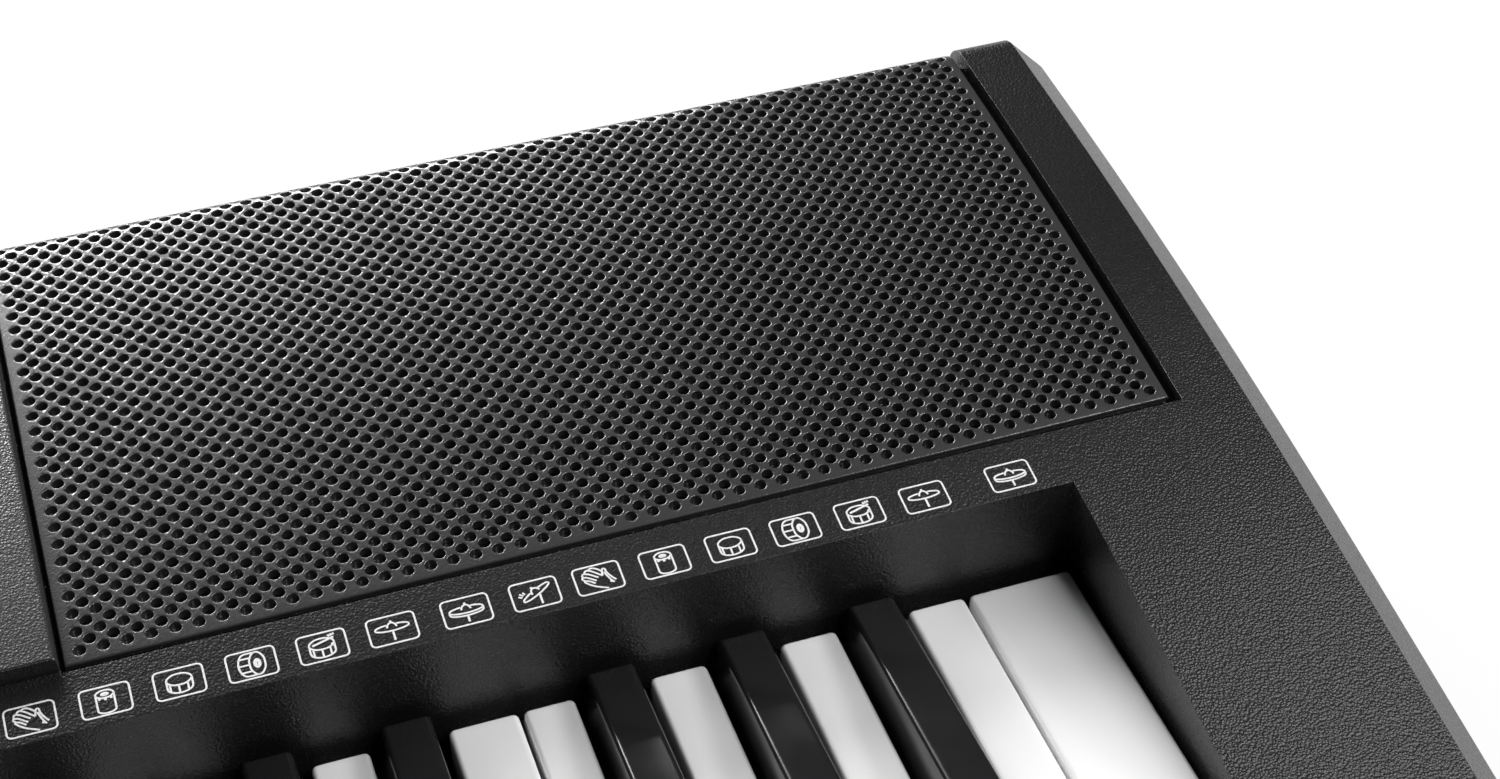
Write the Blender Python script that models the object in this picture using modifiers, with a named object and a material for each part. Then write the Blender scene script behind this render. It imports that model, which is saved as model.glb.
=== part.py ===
# Portable keyboard with five octaves of keys: a two-part moulded case, a perforated grille over
# each speaker, a raised control panel, and keys moulded as combs that bend at thin necks.
# Metres, +Z up. The player sits on the -Y side, the low notes are at -X, and the origin lies
# on the table under the middle of the case.

import math

import bmesh
import bpy
from mathutils import Matrix, Vector

mm = 0.001

# Clearances
seat_gap = 0.3 * mm            # between pieces that rest on each other
slide_gap = 0.4 * mm           # round a button or shaft in its hole

# Keys
octaves = 5
key_pitch = 23.5 * mm
key_gap = 1.0 * mm
key_top = 62 * mm              # height of the white keys above the table
white_length = 140 * mm
head_length = 48 * mm          # the wide part in front of the black keys
skirt_depth = 16 * mm
key_wall = 1.8 * mm
key_roof = 2.5 * mm
key_round = 0.8 * mm
black_top_width = 9.6 * mm
black_base_width = 14.0 * mm
black_rise_rear = 4.7 * mm     # above the white keys at the back
black_rise_front = 10.9 * mm   # above the white keys at the front
black_setback = 4.5 * mm       # slant of a black key's front
black_overhang = 1.7 * mm      # black keys end this far behind the white ones
black_side_gap = 0.75 * mm
black_front_gap = 1.0 * mm
black_arm_drop = 12.5 * mm      # arm roots' undersides below the white tops
white_arm_drop = 14.3 * mm
black_shift = {1: -2.3 * mm, 2: 1.2 * mm, 4: -4.8 * mm, 5: -1.1 * mm, 6: 2.9 * mm}
key_dip_angle = math.radians(3.1)

# Key hinges and combs
hinge_reach = 42 * mm          # from the white keys' back ends to the bending necks
neck_thickness = 1.2 * mm
arm_width = 8 * mm
arm_root_height = 6 * mm
rail_thickness = 2.5 * mm
rail_depth = 8 * mm
rail_spacing = 0.6 * mm        # air between the stacked rails
rail_drop = 15 * mm            # lowest rail's underside below the white key tops

# Case
deck_depth = 143.1 * mm        # from the well's rear wall to the back of the case
cheek_width = 52.5 * mm        # case beyond the keys at each end
case_wall = 2.5 * mm
case_bottom = 4 * mm           # above the table
joint_height = 30 * mm         # seam between upper and lower case
deck_radius = 1325 * mm
deck_rear_height = 96.5 * mm
deck_rear_slope = math.radians(2.82)
roll_radius = 8 * mm           # rounded rear edge of the deck
arc_end_from_back = 176.7 * mm # the deck's arc runs forward to here
cheek_slope_length = 65 * mm   # the cheek's slope eases this far from the front
cheek_front_slope = math.radians(6.5)
cheek_nose_radius = 12 * mm
end_chamfer = 8 * mm
keel_chamfer = 8 * mm
front_rail_depth = 7.9 * mm
front_rail_drop = 12 * mm      # front rail's top below the key tops
key_front_gap = 1.2 * mm
key_end_gap = 0.6 * mm         # between the end keys and the cheeks
well_gap = 3.5 * mm            # behind the white keys
well_wall_draft = math.radians(1.6)

# Grilles
grille_edge_gap = 1.9 * mm
grille_front_margin = 16.1 * mm  # from the well's rear wall to the grille
grille_length = 228.4 * mm
grille_end_margin = 23.1 * mm  # from the grille to the end of the case
grille_thickness = 2.0 * mm
grille_sink = 0.8 * mm         # below the case's surface
grille_tail = 6 * mm           # how far it runs down the back of the case
hole_pitch = 4.532 * mm
hole_size = 2.9 * mm
hole_stride = 5                # one hole in this many is cut here, in each direction

# Control panel
panel_half_length = 223.2 * mm
panel_front_margin = 14.4 * mm  # from the well's rear wall to the panel
panel_rear_margin = 18.7 * mm   # from the panel to the back of the case
panel_rise = 2.6 * mm
panel_skirt = 7 * mm
panel_wall = 2.5 * mm
panel_round = 0.9 * mm         # shoulders along the panel's two ends
panel_corner = 0.5 * mm        # its other edges
panel_ledge = 14 * mm
board_thickness = 1.6 * mm
board_drop = 12.4 * mm         # panel board's top below the panel's face
button_travel = 0.8 * mm
button_rise = 1.6 * mm
button_flange = 1.2 * mm
small_button = (13 * mm, 8 * mm)
pad_button = (13 * mm, 9 * mm)
pad_step = (19 * mm, 16 * mm)
front_row_inset = 21 * mm      # button rows, from the panel's front edge
power_inset = 23 * mm          # from its rear edge
window_inset = 17 * mm
slot_inset = 8 * mm
window_size = (150 * mm, 44 * mm)
window_thickness = 1.8 * mm
window_border = 4 * mm
knob_radius = 11 * mm
knob_height = 13 * mm
knob_shaft_radius = 3 * mm
rest_slot = (60 * mm, 6 * mm)  # a slot for one leg of a music rest

# Speakers
speaker_radius = 52 * mm
cone_radius = 44 * mm
speaker_depth = 40 * mm
magnet_top = 24 * mm           # from the speaker's top down to its magnet
speaker_inset = 66.7 * mm      # from the back of the case to the speaker's middle
speaker_ring_drop = 9 * mm     # the mounting ring's face below the deck

# Underside
foot_radius = 10 * mm
foot_sink = 1.2 * mm
foot_inset = (75 * mm, 40 * mm)
bay_length = 140 * mm
bay_centre_x = 110 * mm
bay_front_gap = 12 * mm        # from the key bed to the bay
bay_rear_gap = 16.1 * mm       # from the bay to the rear wall
bay_height = 22 * mm
door_rib_spacing = 40 * mm
door_rib_inset = 6 * mm
bay_wall = 1.8 * mm
contact_thickness = 1.0 * mm
contact_inset = 6 * mm

# Key bed
bed_drop = 40 * mm             # chassis underside below the white key tops
bed_plate = 2.5 * mm
bed_post_inset = 30 * mm
bed_post_setback = 22 * mm
bed_back_margin = 2 * mm
guide_width = 5 * mm
felt_width = 8 * mm
felt_thickness = 5.5 * mm
rubber_thickness = 3.5 * mm
rubber_width = 26 * mm
contact_board_half = 22 * mm
ridge_offset = 6 * mm          # the two ridges of contact domes, from the strip's middle
ridge_foot = 4 * mm
ridge_crown = 2 * mm

# Sockets and main board
socket_height = 49 * mm
socket_spacing = 32 * mm
socket_start_x = -130 * mm
socket_body = 14 * mm
socket_length = 22 * mm
plug_radius = 3.3 * mm
barrel_radius = 5.7 * mm
power_bore_radius = 2.9 * mm
main_board_size = (180 * mm, 56 * mm)
board_parts = (                # on the main board: place and size across and along, and height, in mm
    (-50, -6, (22, 22), 3),
    (10, -12, (30, 14), 8),
    (60, 4, (14, 26), 12),
)

# Sizes that follow from the ones above
white_keys = 7 * octaves + 1
keys_half = white_keys * key_pitch / 2
body_half = keys_half + cheek_width
body_depth = front_rail_depth + key_front_gap + white_length + well_gap + deck_depth
front_y = -body_depth / 2
rear_y = body_depth / 2
key_front_y = front_y + front_rail_depth + key_front_gap
key_rear_y = key_front_y + white_length
notch_y = key_front_y + head_length
skirt_bottom = key_top - skirt_depth
hinge_y = key_rear_y + hinge_reach
well_wall_y = key_rear_y + well_gap
well_half = keys_half + key_end_gap
rail_inner_y = key_front_y - key_front_gap
rail_top = key_top - front_rail_drop
rail_bottoms = [key_top - rail_drop + level * (rail_thickness + rail_spacing) for level in range(3)]
wall_bottom = rail_bottoms[2] + rail_thickness + rail_spacing
tangent_y = rear_y - roll_radius * (1 + math.sin(deck_rear_slope))
arc_y = tangent_y + deck_radius * math.sin(deck_rear_slope)
arc_end_y = rear_y - arc_end_from_back
cheek_break_y = front_y + cheek_slope_length
arc_z = deck_rear_height - deck_radius * math.cos(deck_rear_slope)
roll_y = rear_y - roll_radius
roll_z = deck_rear_height - roll_radius * math.cos(deck_rear_slope)
above_case = deck_rear_height + 20 * mm
below_seam = joint_height - 6 * mm
bed_bottom = key_top - bed_drop
bed_top = bed_bottom + bed_plate
recess_depth = grille_sink + grille_thickness + seat_gap
grille_outer_x = body_half - grille_end_margin
grille_inner_x = grille_outer_x - grille_length
grille_front_y = well_wall_y + grille_front_margin
recess_front_y = grille_front_y - grille_edge_gap
panel_depth = deck_depth - panel_front_margin - panel_rear_margin
panel_centre_y = rear_y - panel_rear_margin - panel_depth / 2
window_centre = (0, panel_depth / 2 - window_inset - window_size[1] / 2)
front_row_y = front_row_inset - panel_depth / 2
speaker_centre_y = rear_y - speaker_inset
bed_back_y = hinge_y + rail_depth + bed_back_margin
magnet_radius = speaker_centre_y - bed_back_y    # the speaker's tilt keeps it clear of the bed
bay_width = rear_y - case_wall - bay_rear_gap - bay_front_gap - bed_back_y
bay_centre = (bay_centre_x, bed_back_y + bay_front_gap + bay_width / 2)

# Materials, as linear colours
finishes = {
    "case_black": ((0.036, 0.036, 0.038), 0.55, 0.0),
    "grille_black": ((0.030, 0.030, 0.032), 0.38, 0.0),
    "panel_grey": ((0.070, 0.070, 0.074), 0.50, 0.0),
    "key_white": ((0.870, 0.870, 0.860), 0.18, 0.0),
    "key_black": ((0.018, 0.018, 0.019), 0.15, 0.0),
    "button_grey": ((0.150, 0.150, 0.155), 0.50, 0.0),
    "window_clear": ((0.060, 0.070, 0.075), 0.08, 0.0),
    "display_grey": ((0.330, 0.380, 0.340), 0.30, 0.0),
    "board_green": ((0.020, 0.110, 0.050), 0.45, 0.0),
    "chassis_grey": ((0.210, 0.210, 0.205), 0.60, 0.0),
    "felt_red": ((0.280, 0.030, 0.030), 0.95, 0.0),
    "contact_rubber": ((0.120, 0.120, 0.125), 0.80, 0.0),
    "foot_rubber": ((0.020, 0.020, 0.020), 0.85, 0.0),
    "speaker_paper": ((0.045, 0.045, 0.045), 0.75, 0.0),
    "socket_black": ((0.025, 0.025, 0.025), 0.45, 0.0),
    "contact_steel": ((0.600, 0.600, 0.580), 0.30, 1.0),
}


def clear_scene():
    for item in list(bpy.data.objects):
        bpy.data.objects.remove(item, do_unlink=True)


def make_collection(name):
    collection = bpy.data.collections.new(name)
    bpy.context.scene.collection.children.link(collection)
    return collection


def make_materials():
    made = {}
    for name, (colour, roughness, metallic) in finishes.items():
        material = bpy.data.materials.new(name)
        material.use_nodes = True
        shader = material.node_tree.nodes["Principled BSDF"]
        shader.inputs["Base Color"].default_value = (*colour, 1.0)
        shader.inputs["Roughness"].default_value = roughness
        shader.inputs["Metallic"].default_value = metallic
        material.diffuse_color = (*colour, 1.0)
        made[name] = material
    return made


clear_scene()
parts = make_collection("portable_keyboard")
cutters = make_collection("cutters")
materials = make_materials()


# Basic solids. Each starts as a tool in the cutters collection.

def tool_object(name, mesh):
    tool = bpy.data.objects.new(name, mesh)
    tool.hide_render = True
    tool.display_type = "WIRE"
    cutters.objects.link(tool)
    return tool


def mesh_from_bmesh(name, shape):
    mesh = bpy.data.meshes.new(name)
    shape.to_mesh(mesh)
    shape.free()
    return mesh


def box(name, low, high):
    shape = bmesh.new()
    bmesh.ops.create_cube(shape, size=1.0)
    size = [high[axis] - low[axis] for axis in range(3)]
    centre = [(high[axis] + low[axis]) / 2 for axis in range(3)]
    bmesh.ops.scale(shape, vec=size, verts=shape.verts)
    bmesh.ops.translate(shape, vec=centre, verts=shape.verts)
    return tool_object(name, mesh_from_bmesh(name, shape))


def cylinder(name, radius, low, high, centre=(0, 0), axis="Z", segments=20):
    # The centre is given in the two directions across the axis.
    shape = bmesh.new()
    bmesh.ops.create_cone(shape, cap_ends=True, segments=segments, radius1=radius,
                          radius2=radius, depth=high - low)
    middle = (high + low) / 2
    if axis == "Z":
        place = Matrix.Translation((centre[0], centre[1], middle))
    else:
        place = Matrix.Translation((centre[0], middle, centre[1])) @ Matrix.Rotation(math.pi / 2, 4, "X")
    bmesh.ops.transform(shape, matrix=place, verts=shape.verts)
    return tool_object(name, mesh_from_bmesh(name, shape))


def evaluated_mesh(item):
    bpy.context.view_layer.update()
    graph = bpy.context.evaluated_depsgraph_get()
    return bpy.data.meshes.new_from_object(item.evaluated_get(graph))


def prism(name, outline, axis, low, high):
    # Pulls a flat outline along one axis. Outlines are (Y, Z) along X and (X, Y) along Z.
    curve = bpy.data.curves.new(name, "CURVE")
    curve.dimensions = "2D"
    curve.fill_mode = "BOTH"
    curve.extrude = (high - low) / 2
    spline = curve.splines.new("POLY")
    spline.points.add(len(outline) - 1)
    for point, (first, second) in zip(spline.points, outline):
        point.co = (first, second, 0, 1)
    spline.use_cyclic_u = True
    holder = bpy.data.objects.new(name, curve)
    cutters.objects.link(holder)
    mesh = evaluated_mesh(holder)
    bpy.data.objects.remove(holder, do_unlink=True)
    bpy.data.curves.remove(curve)
    turn = Matrix.Identity(4)
    if axis == "X":
        turn = Matrix(((0, 0, 1, 0), (1, 0, 0, 0), (0, 1, 0, 0), (0, 0, 0, 1)))
    mesh.transform(turn @ Matrix.Translation((0, 0, (low + high) / 2)))
    shape = bmesh.new()
    shape.from_mesh(mesh)
    bmesh.ops.remove_doubles(shape, verts=shape.verts, dist=0.001 * mm)
    bmesh.ops.dissolve_limit(shape, angle_limit=math.radians(0.05), verts=shape.verts, edges=shape.edges)
    bmesh.ops.recalc_face_normals(shape, faces=shape.faces)
    bpy.data.meshes.remove(mesh)
    return tool_object(name, mesh_from_bmesh(name, shape))


def turned(name, profile, steps):
    # Spins a profile of (radius, height) points, top to bottom, about Z.
    shape = bmesh.new()
    points = [shape.verts.new((radius, 0, height)) for radius, height in profile]
    for first, second in zip(points, points[1:]):
        shape.edges.new((first, second))
    item = tool_object(name, mesh_from_bmesh(name, shape))
    screw = item.modifiers.new("turn", "SCREW")
    screw.steps = steps
    screw.render_steps = steps
    screw.use_merge_vertices = True
    screw.merge_threshold = 0.01 * mm
    screw.use_smooth_shade = True
    bake(item)
    return item


def bake(item):
    mesh = evaluated_mesh(item)
    item.modifiers.clear()
    item.data = mesh


def combine(target, tools, operation):
    for tool in tools:
        change = target.modifiers.new(tool.name, "BOOLEAN")
        change.operation = operation
        change.solver = "EXACT"
        change.object = tool
    bake(target)
    for tool in tools:
        bpy.data.objects.remove(tool, do_unlink=True)
    return target


def cut(target, *tools):
    return combine(target, tools, "DIFFERENCE")


def fuse(target, *tools):
    return combine(target, tools, "UNION")


def edit(item, work):
    # Runs one bmesh job on an object's mesh.
    shape = bmesh.new()
    shape.from_mesh(item.data)
    work(shape)
    shape.to_mesh(item.data)
    shape.free()
    return item


def bevel_edges(item, chooser, width, segments=1):
    # Rounds the edges that the chooser picks by their two end points.
    def work(shape):
        picked = [edge for edge in shape.edges if chooser(edge.verts[0].co, edge.verts[1].co)]
        bmesh.ops.bevel(shape, geom=picked, offset=width, offset_type="OFFSET", segments=segments,
                        profile=0.5, affect="EDGES", clamp_overlap=True, material=-1)
    return edit(item, work)


def smooth(item, angle=30):
    item.data.shade_smooth()
    item.data.set_sharp_from_angle(angle=math.radians(angle))


def finish(item, name, material, origin=(0, 0, 0), frame=None):
    # Turns a tool into a part. The origin is a point of its own frame, and the frame a matrix.
    cutters.objects.unlink(item)
    parts.objects.link(item)
    item.name = name
    item.data.name = name
    item.hide_render = False
    item.display_type = "TEXTURED"
    item.data.materials.clear()
    item.data.materials.append(materials[material])
    item.data.transform(Matrix.Translation(-Vector(origin)))
    item.matrix_world = (frame or Matrix.Identity(4)) @ Matrix.Translation(origin)
    smooth(item)
    return item


def copy_of(item, name, location):
    twin = bpy.data.objects.new(name, item.data)
    twin.location = location
    parts.objects.link(twin)
    return twin


# The deck's cross-section: an arc that rolls down over the back of the case.

def roll_points(offset, steps=7):
    radius = roll_radius - offset
    points = []
    for step in range(steps + 1):
        turn = (math.pi / 2 + deck_rear_slope) * step / steps
        points.append((roll_y + radius * math.cos(turn), roll_z + radius * math.sin(turn)))
    return points


def deck_point(y, offset):
    radius = deck_radius - offset
    return (y, arc_z + math.sqrt(radius ** 2 - (arc_y - y) ** 2))


def deck_slope(y):
    return math.asin((arc_y - y) / deck_radius)


def deck_path(offset, end_y, low_z, steps):
    # From low on the back, over the roll and forward along the arc, set in by the offset.
    points = [(rear_y - offset, low_z)] + roll_points(offset)
    start_y = points[-1][0]
    for step in range(1, steps + 1):
        points.append(deck_point(start_y + (end_y - start_y) * step / steps, offset))
    return points


def deck_band(inner, outer, end_y, low_z, steps=5):
    return deck_path(inner, end_y, low_z, steps) + deck_path(outer, end_y, low_z, steps)[::-1]


def rounded_corner(before, corner, after, radius, steps):
    # The arc that replaces one corner of an outline.
    corner = Vector(corner)
    back = (Vector(before) - corner).normalized()
    ahead = (Vector(after) - corner).normalized()
    half = back.angle(ahead) / 2
    middle = corner + (back + ahead).normalized() * radius / math.sin(half)
    first = corner + back * radius / math.tan(half) - middle
    last = corner + ahead * radius / math.tan(half) - middle
    points = []
    for step in range(steps + 1):
        spoke = first.lerp(last, step / steps).normalized() * radius
        points.append(tuple(middle + spoke))
    return points


def case_path():
    path = deck_path(0, arc_end_y, joint_height, 8)
    arc_end = path[-1]
    drop = (arc_end_y - cheek_break_y) * math.tan(deck_slope(arc_end_y))
    cheek_break = (cheek_break_y, arc_end[1] - drop)
    nose_z = cheek_break[1] - (cheek_break_y - front_y) * math.tan(cheek_front_slope)
    nose = (front_y, nose_z)
    path.append(cheek_break)
    path += rounded_corner(cheek_break, nose, (front_y, joint_height), cheek_nose_radius, 5)
    path.append((front_y, joint_height))
    return path


def offset_path(path, distance):
    # Moves an open path to its left, keeping its corners sharp.
    moved = []
    for index, point in enumerate(path):
        here = Vector(point)
        sides = []
        if index > 0:
            sides.append((here - Vector(path[index - 1])).normalized())
        if index < len(path) - 1:
            sides.append((Vector(path[index + 1]) - here).normalized())
        normals = [Vector((-side.y, side.x)) for side in sides]
        mean = sum(normals, Vector((0, 0))).normalized()
        moved.append(tuple(here + mean * distance / mean.dot(normals[0])))
    return moved


def chamfer_ends(item, half, width, floor):
    # Cuts the edges round both ends back at 45 degrees, but for those along the open side.
    def on_end(first, second):
        same_end = abs(abs(first.x) - half) < 0.01 * mm and abs(first.x - second.x) < 0.01 * mm
        return same_end and not (abs(first.z - floor) < 0.01 * mm and abs(second.z - floor) < 0.01 * mm)
    return bevel_edges(item, on_end, width)


def panel_frame():
    y, z = deck_point(panel_centre_y, -panel_rise)
    return Matrix.Translation((0, y, z)) @ Matrix.Rotation(deck_slope(panel_centre_y), 4, "X")


def speaker_frame(side):
    y, z = deck_point(speaker_centre_y, 0)
    x = side * (grille_inner_x + grille_outer_x) / 2
    return Matrix.Translation((x, y, z)) @ Matrix.Rotation(deck_slope(speaker_centre_y), 4, "X")


def in_frame(item, frame):
    item.data.transform(frame)
    return item


def side_range(side, inner, outer):
    return tuple(sorted((side * inner, side * outer)))


def wall_y(z):
    return well_wall_y + (z - key_top) * math.tan(well_wall_draft)


# Upper case

def build_upper_case():
    path = case_path()
    case = prism("upper_case", [(y, max(z, joint_height + seat_gap)) for y, z in path], "X",
                 -body_half, body_half)
    chamfer_ends(case, body_half, end_chamfer, joint_height + seat_gap)

    inner_half = body_half - case_wall
    inner_path = offset_path(path, case_wall)
    inner_path[0] = (inner_path[0][0], below_seam)
    inner_path[-1] = (inner_path[-1][0], below_seam)
    cavity = prism("cavity", inner_path, "X", -inner_half, inner_half)
    chamfer_ends(cavity, inner_half, end_chamfer - case_wall * (2 - math.sqrt(2)), below_seam)

    block_half = well_half + case_wall
    low = below_seam - case_wall
    well_block = prism("well_block", [
        (front_y - case_wall, low),
        (front_y - case_wall, above_case),
        (wall_y(above_case) + case_wall, above_case),
        (wall_y(low) + case_wall, low),
    ], "X", -block_half, block_half)
    cut(cavity, well_block)

    for side in (-1, 1):
        pan_low, pan_high = side_range(side, panel_half_length - 2 * case_wall,
                                       grille_outer_x + grille_edge_gap + case_wall)
        floor = recess_depth + case_wall
        pan = prism("grille_pan",
                    deck_band(floor, -case_wall, recess_front_y - case_wall, grille_low() - case_wall),
                    "X", pan_low, pan_high)
        cut(cavity, pan)

    frame = panel_frame()
    half_length, half_depth = panel_pocket()
    pan_bottom = -(panel_skirt + seat_gap + case_wall)
    pan = in_frame(box("panel_pan", (-half_length - case_wall, -half_depth - case_wall, pan_bottom),
                       (half_length + case_wall, half_depth + case_wall, 2 * panel_rise)), frame)
    cut(cavity, pan)
    cut(case, cavity)

    under_wall = well_wall_y + 2 * case_wall
    well = prism("well", [
        (rail_inner_y, low),
        (rail_inner_y, above_case),
        (wall_y(above_case), above_case),
        (wall_y(wall_bottom), wall_bottom),
        (under_wall, wall_bottom),
        (under_wall, low),
    ], "X", -well_half, well_half)
    rail_clearance = box("rail_clearance", (-well_half, front_y - case_wall, rail_top),
                         (well_half, rail_inner_y + case_wall, above_case))
    rail_hollow = box("rail_hollow", (-well_half + 2 * case_wall, front_y + case_wall, low),
                      (well_half - 2 * case_wall, rail_inner_y - case_wall, rail_top - case_wall))
    cut(case, well, rail_clearance, rail_hollow)

    pocket = box("pocket", (-half_length, -half_depth, -(panel_skirt + seat_gap)),
                 (half_length, half_depth, 3 * panel_skirt))
    bevel_edges(pocket, is_upright, panel_corner)
    in_frame(pocket, frame)
    window = in_frame(box("panel_opening",
                          (panel_ledge - half_length, panel_ledge - half_depth, -3 * panel_skirt),
                          (half_length - panel_ledge, half_depth - panel_ledge, panel_skirt)), frame)
    cut(case, pocket, window)

    for side in (-1, 1):
        low_x, high_x = side_range(side, panel_half_length, grille_outer_x + grille_edge_gap)
        recess = prism("grille_recess",
                       deck_band(recess_depth, -2 * case_wall, recess_front_y, grille_low() - seat_gap),
                       "X", low_x, high_x)
        cut(case, recess)
        mount = speaker_frame(side)
        ring = in_frame(cylinder("speaker_ring", speaker_radius + 2 * mm, -speaker_ring_drop,
                                 -(recess_depth + case_wall / 2 + 0.2 * mm), segments=24), mount)
        fuse(case, ring)
        sound_hole = in_frame(cylinder("sound_hole", cone_radius + 2 * mm, -3 * speaker_ring_drop,
                                       speaker_ring_drop, segments=24), mount)
        cut(case, sound_hole)

    for index in range(3):
        x = socket_start_x - index * socket_spacing
        cut(case,
            cylinder("socket_hole", barrel_radius + slide_gap, rear_y - 2 * case_wall, rear_y + case_wall,
                           centre=(x, socket_height), axis="Y", segments=16))
    return finish(case, "upper_case", "case_black")


def grille_low():
    return roll_z - grille_tail


def panel_pocket():
    return panel_half_length + seat_gap, panel_depth / 2 + seat_gap


# Lower case

def bay_box(name, grow, low, high):
    half_length = bay_length / 2 + grow
    half_width = bay_width / 2 + grow
    return box(name, (bay_centre[0] - half_length, bay_centre[1] - half_width, low),
               (bay_centre[0] + half_length, bay_centre[1] + half_width, high))


def foot_places():
    x = body_half - foot_inset[0]
    y = body_depth / 2 - foot_inset[1]
    return {
        "left_front_foot": (-x, -y),
        "right_front_foot": (x, -y),
        "left_rear_foot": (-x, y),
        "right_rear_foot": (x, y),
    }


def build_lower_case():
    rim = joint_height
    floor = case_bottom + case_wall
    shell = [
        (rear_y, rim),
        (front_y, rim),
        (front_y, case_bottom + keel_chamfer),
        (front_y + keel_chamfer, case_bottom),
        (rear_y - keel_chamfer, case_bottom),
        (rear_y, case_bottom + keel_chamfer),
    ]
    case = prism("lower_case", shell, "X", -body_half, body_half)
    chamfer_ends(case, body_half, end_chamfer, rim)
    inner_half = body_half - end_chamfer
    inset = keel_chamfer * (2 - math.sqrt(2)) / 2 + case_wall
    hollow = prism("lower_hollow", [
        (rear_y - case_wall, rim + case_wall),
        (front_y + case_wall, rim + case_wall),
        (front_y + case_wall, case_bottom + keel_chamfer + case_wall / 2),
        (front_y + inset + case_wall, floor),
        (rear_y - inset - case_wall, floor),
        (rear_y - case_wall, case_bottom + keel_chamfer + case_wall / 2),
    ], "X", -inner_half, inner_half)
    bay_top = case_bottom + bay_height
    cut(hollow, bay_box("bay_outer", bay_wall, case_bottom - case_wall, bay_top))
    cut(case, hollow)
    cut(case, bay_box("bay_inner", 0, case_bottom - case_wall, bay_top - bay_wall))

    lip_out = case_wall + seat_gap
    lip_in = lip_out + 1.2 * mm
    lip_top = rim + 2.5 * mm
    lip_low = rim - 2 * mm
    corner = 2 * end_chamfer
    back_lip = box("back_lip", (-body_half + corner, rear_y - lip_in, lip_low),
                   (body_half - corner, rear_y - case_wall + seat_gap, lip_top))
    fuse(case, back_lip)
    trim = box("lip_trim", (-body_half, rear_y - lip_out, rim), (body_half, rear_y, lip_top + case_wall))
    cut(case, trim)

    for x in bed_post_places():
        for y in (front_y + bed_post_setback, hinge_y + rail_depth / 2):
            post = cylinder("bed_post", 4 * mm, floor - case_wall / 2, bed_bottom - seat_gap,
                            centre=(x, y), segments=10)
            fuse(case, post)
    board_x, board_y = main_board_centre()
    for across in (-1, 1):
        for along in (-1, 1):
            place = (board_x + across * (main_board_size[0] / 2 - 8 * mm),
                     board_y + along * (main_board_size[1] / 2 - 6 * mm))
            post = cylinder("board_post", 3.5 * mm, floor - case_wall / 2, main_board_bottom() - seat_gap,
                            centre=place, segments=8)
            fuse(case, post)
    for place in foot_places().values():
        cut(case,
            cylinder("foot_recess", foot_radius + seat_gap, case_bottom - case_wall,
                     case_bottom + foot_sink + seat_gap,
                           centre=place, segments=16))
    return finish(case, "lower_case", "case_black")


def bed_post_places():
    spread = keys_half - bed_post_inset
    return [spread * step / 2 for step in (-2, -1, 0, 1, 2)]


def build_feet():
    for name, place in foot_places().items():
        foot = cylinder(name, foot_radius, 0, case_bottom + foot_sink, centre=place, segments=16)
        bevel_edges(foot, lambda first, second: first.z < 0.01 * mm and second.z < 0.01 * mm, 1.0 * mm)
        finish(foot, name, "foot_rubber", origin=(place[0], place[1], 0))


def build_battery_door():
    half_length = bay_length / 2 - seat_gap
    low_y = bay_centre[1] - bay_width / 2 + seat_gap
    high_y = bay_centre[1] + bay_width / 2 - seat_gap
    x = bay_centre[0]
    door = box("battery_door", (x - half_length, low_y, case_bottom),
               (x + half_length, high_y, case_bottom + case_wall - seat_gap))
    for step in (-1, 0, 1):
        rib_x = x + step * door_rib_spacing
        rib = box("rib", (rib_x - 1 * mm, low_y + door_rib_inset, case_bottom + 1 * mm),
                  (rib_x + 1 * mm, high_y - door_rib_inset, case_bottom + case_wall + 1 * mm))
        fuse(door, rib)
    thumb = cylinder("thumb_recess", 9 * mm, case_bottom - 1 * mm, case_bottom + 0.9 * mm,
                     centre=(x, high_y - 12 * mm), segments=16)
    cut(door, thumb)
    finish(door, "battery_door", "case_black", origin=(x, low_y, case_bottom))


def build_battery_contacts():
    for side, name in ((-1, "battery_contact_low"), (1, "battery_contact_high")):
        wall_x = bay_centre[0] + side * (bay_length / 2 - seat_gap)
        plate_x = sorted((wall_x, wall_x - side * contact_thickness))
        half_width = bay_width / 2 - contact_inset
        low = case_bottom + case_wall + 3 * mm
        high = case_bottom + bay_height - bay_wall - seat_gap
        plate = box(name, (plate_x[0], bay_centre[1] - half_width, low),
                    (plate_x[1], bay_centre[1] + half_width, high))
        for step in (-1, 0, 1):
            nub = cylinder("nub", 4 * mm, 0, 3 * mm, segments=10)
            turn = Matrix.Rotation(-side * math.pi / 2, 4, "Y")
            place = Matrix.Translation((wall_x - side * contact_thickness / 2,
                                        bay_centre[1] + step * 17 * mm, (low + high) / 2))
            fuse(plate, in_frame(nub, place @ turn))
        finish(plate, name, "contact_steel")


# Grilles

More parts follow.
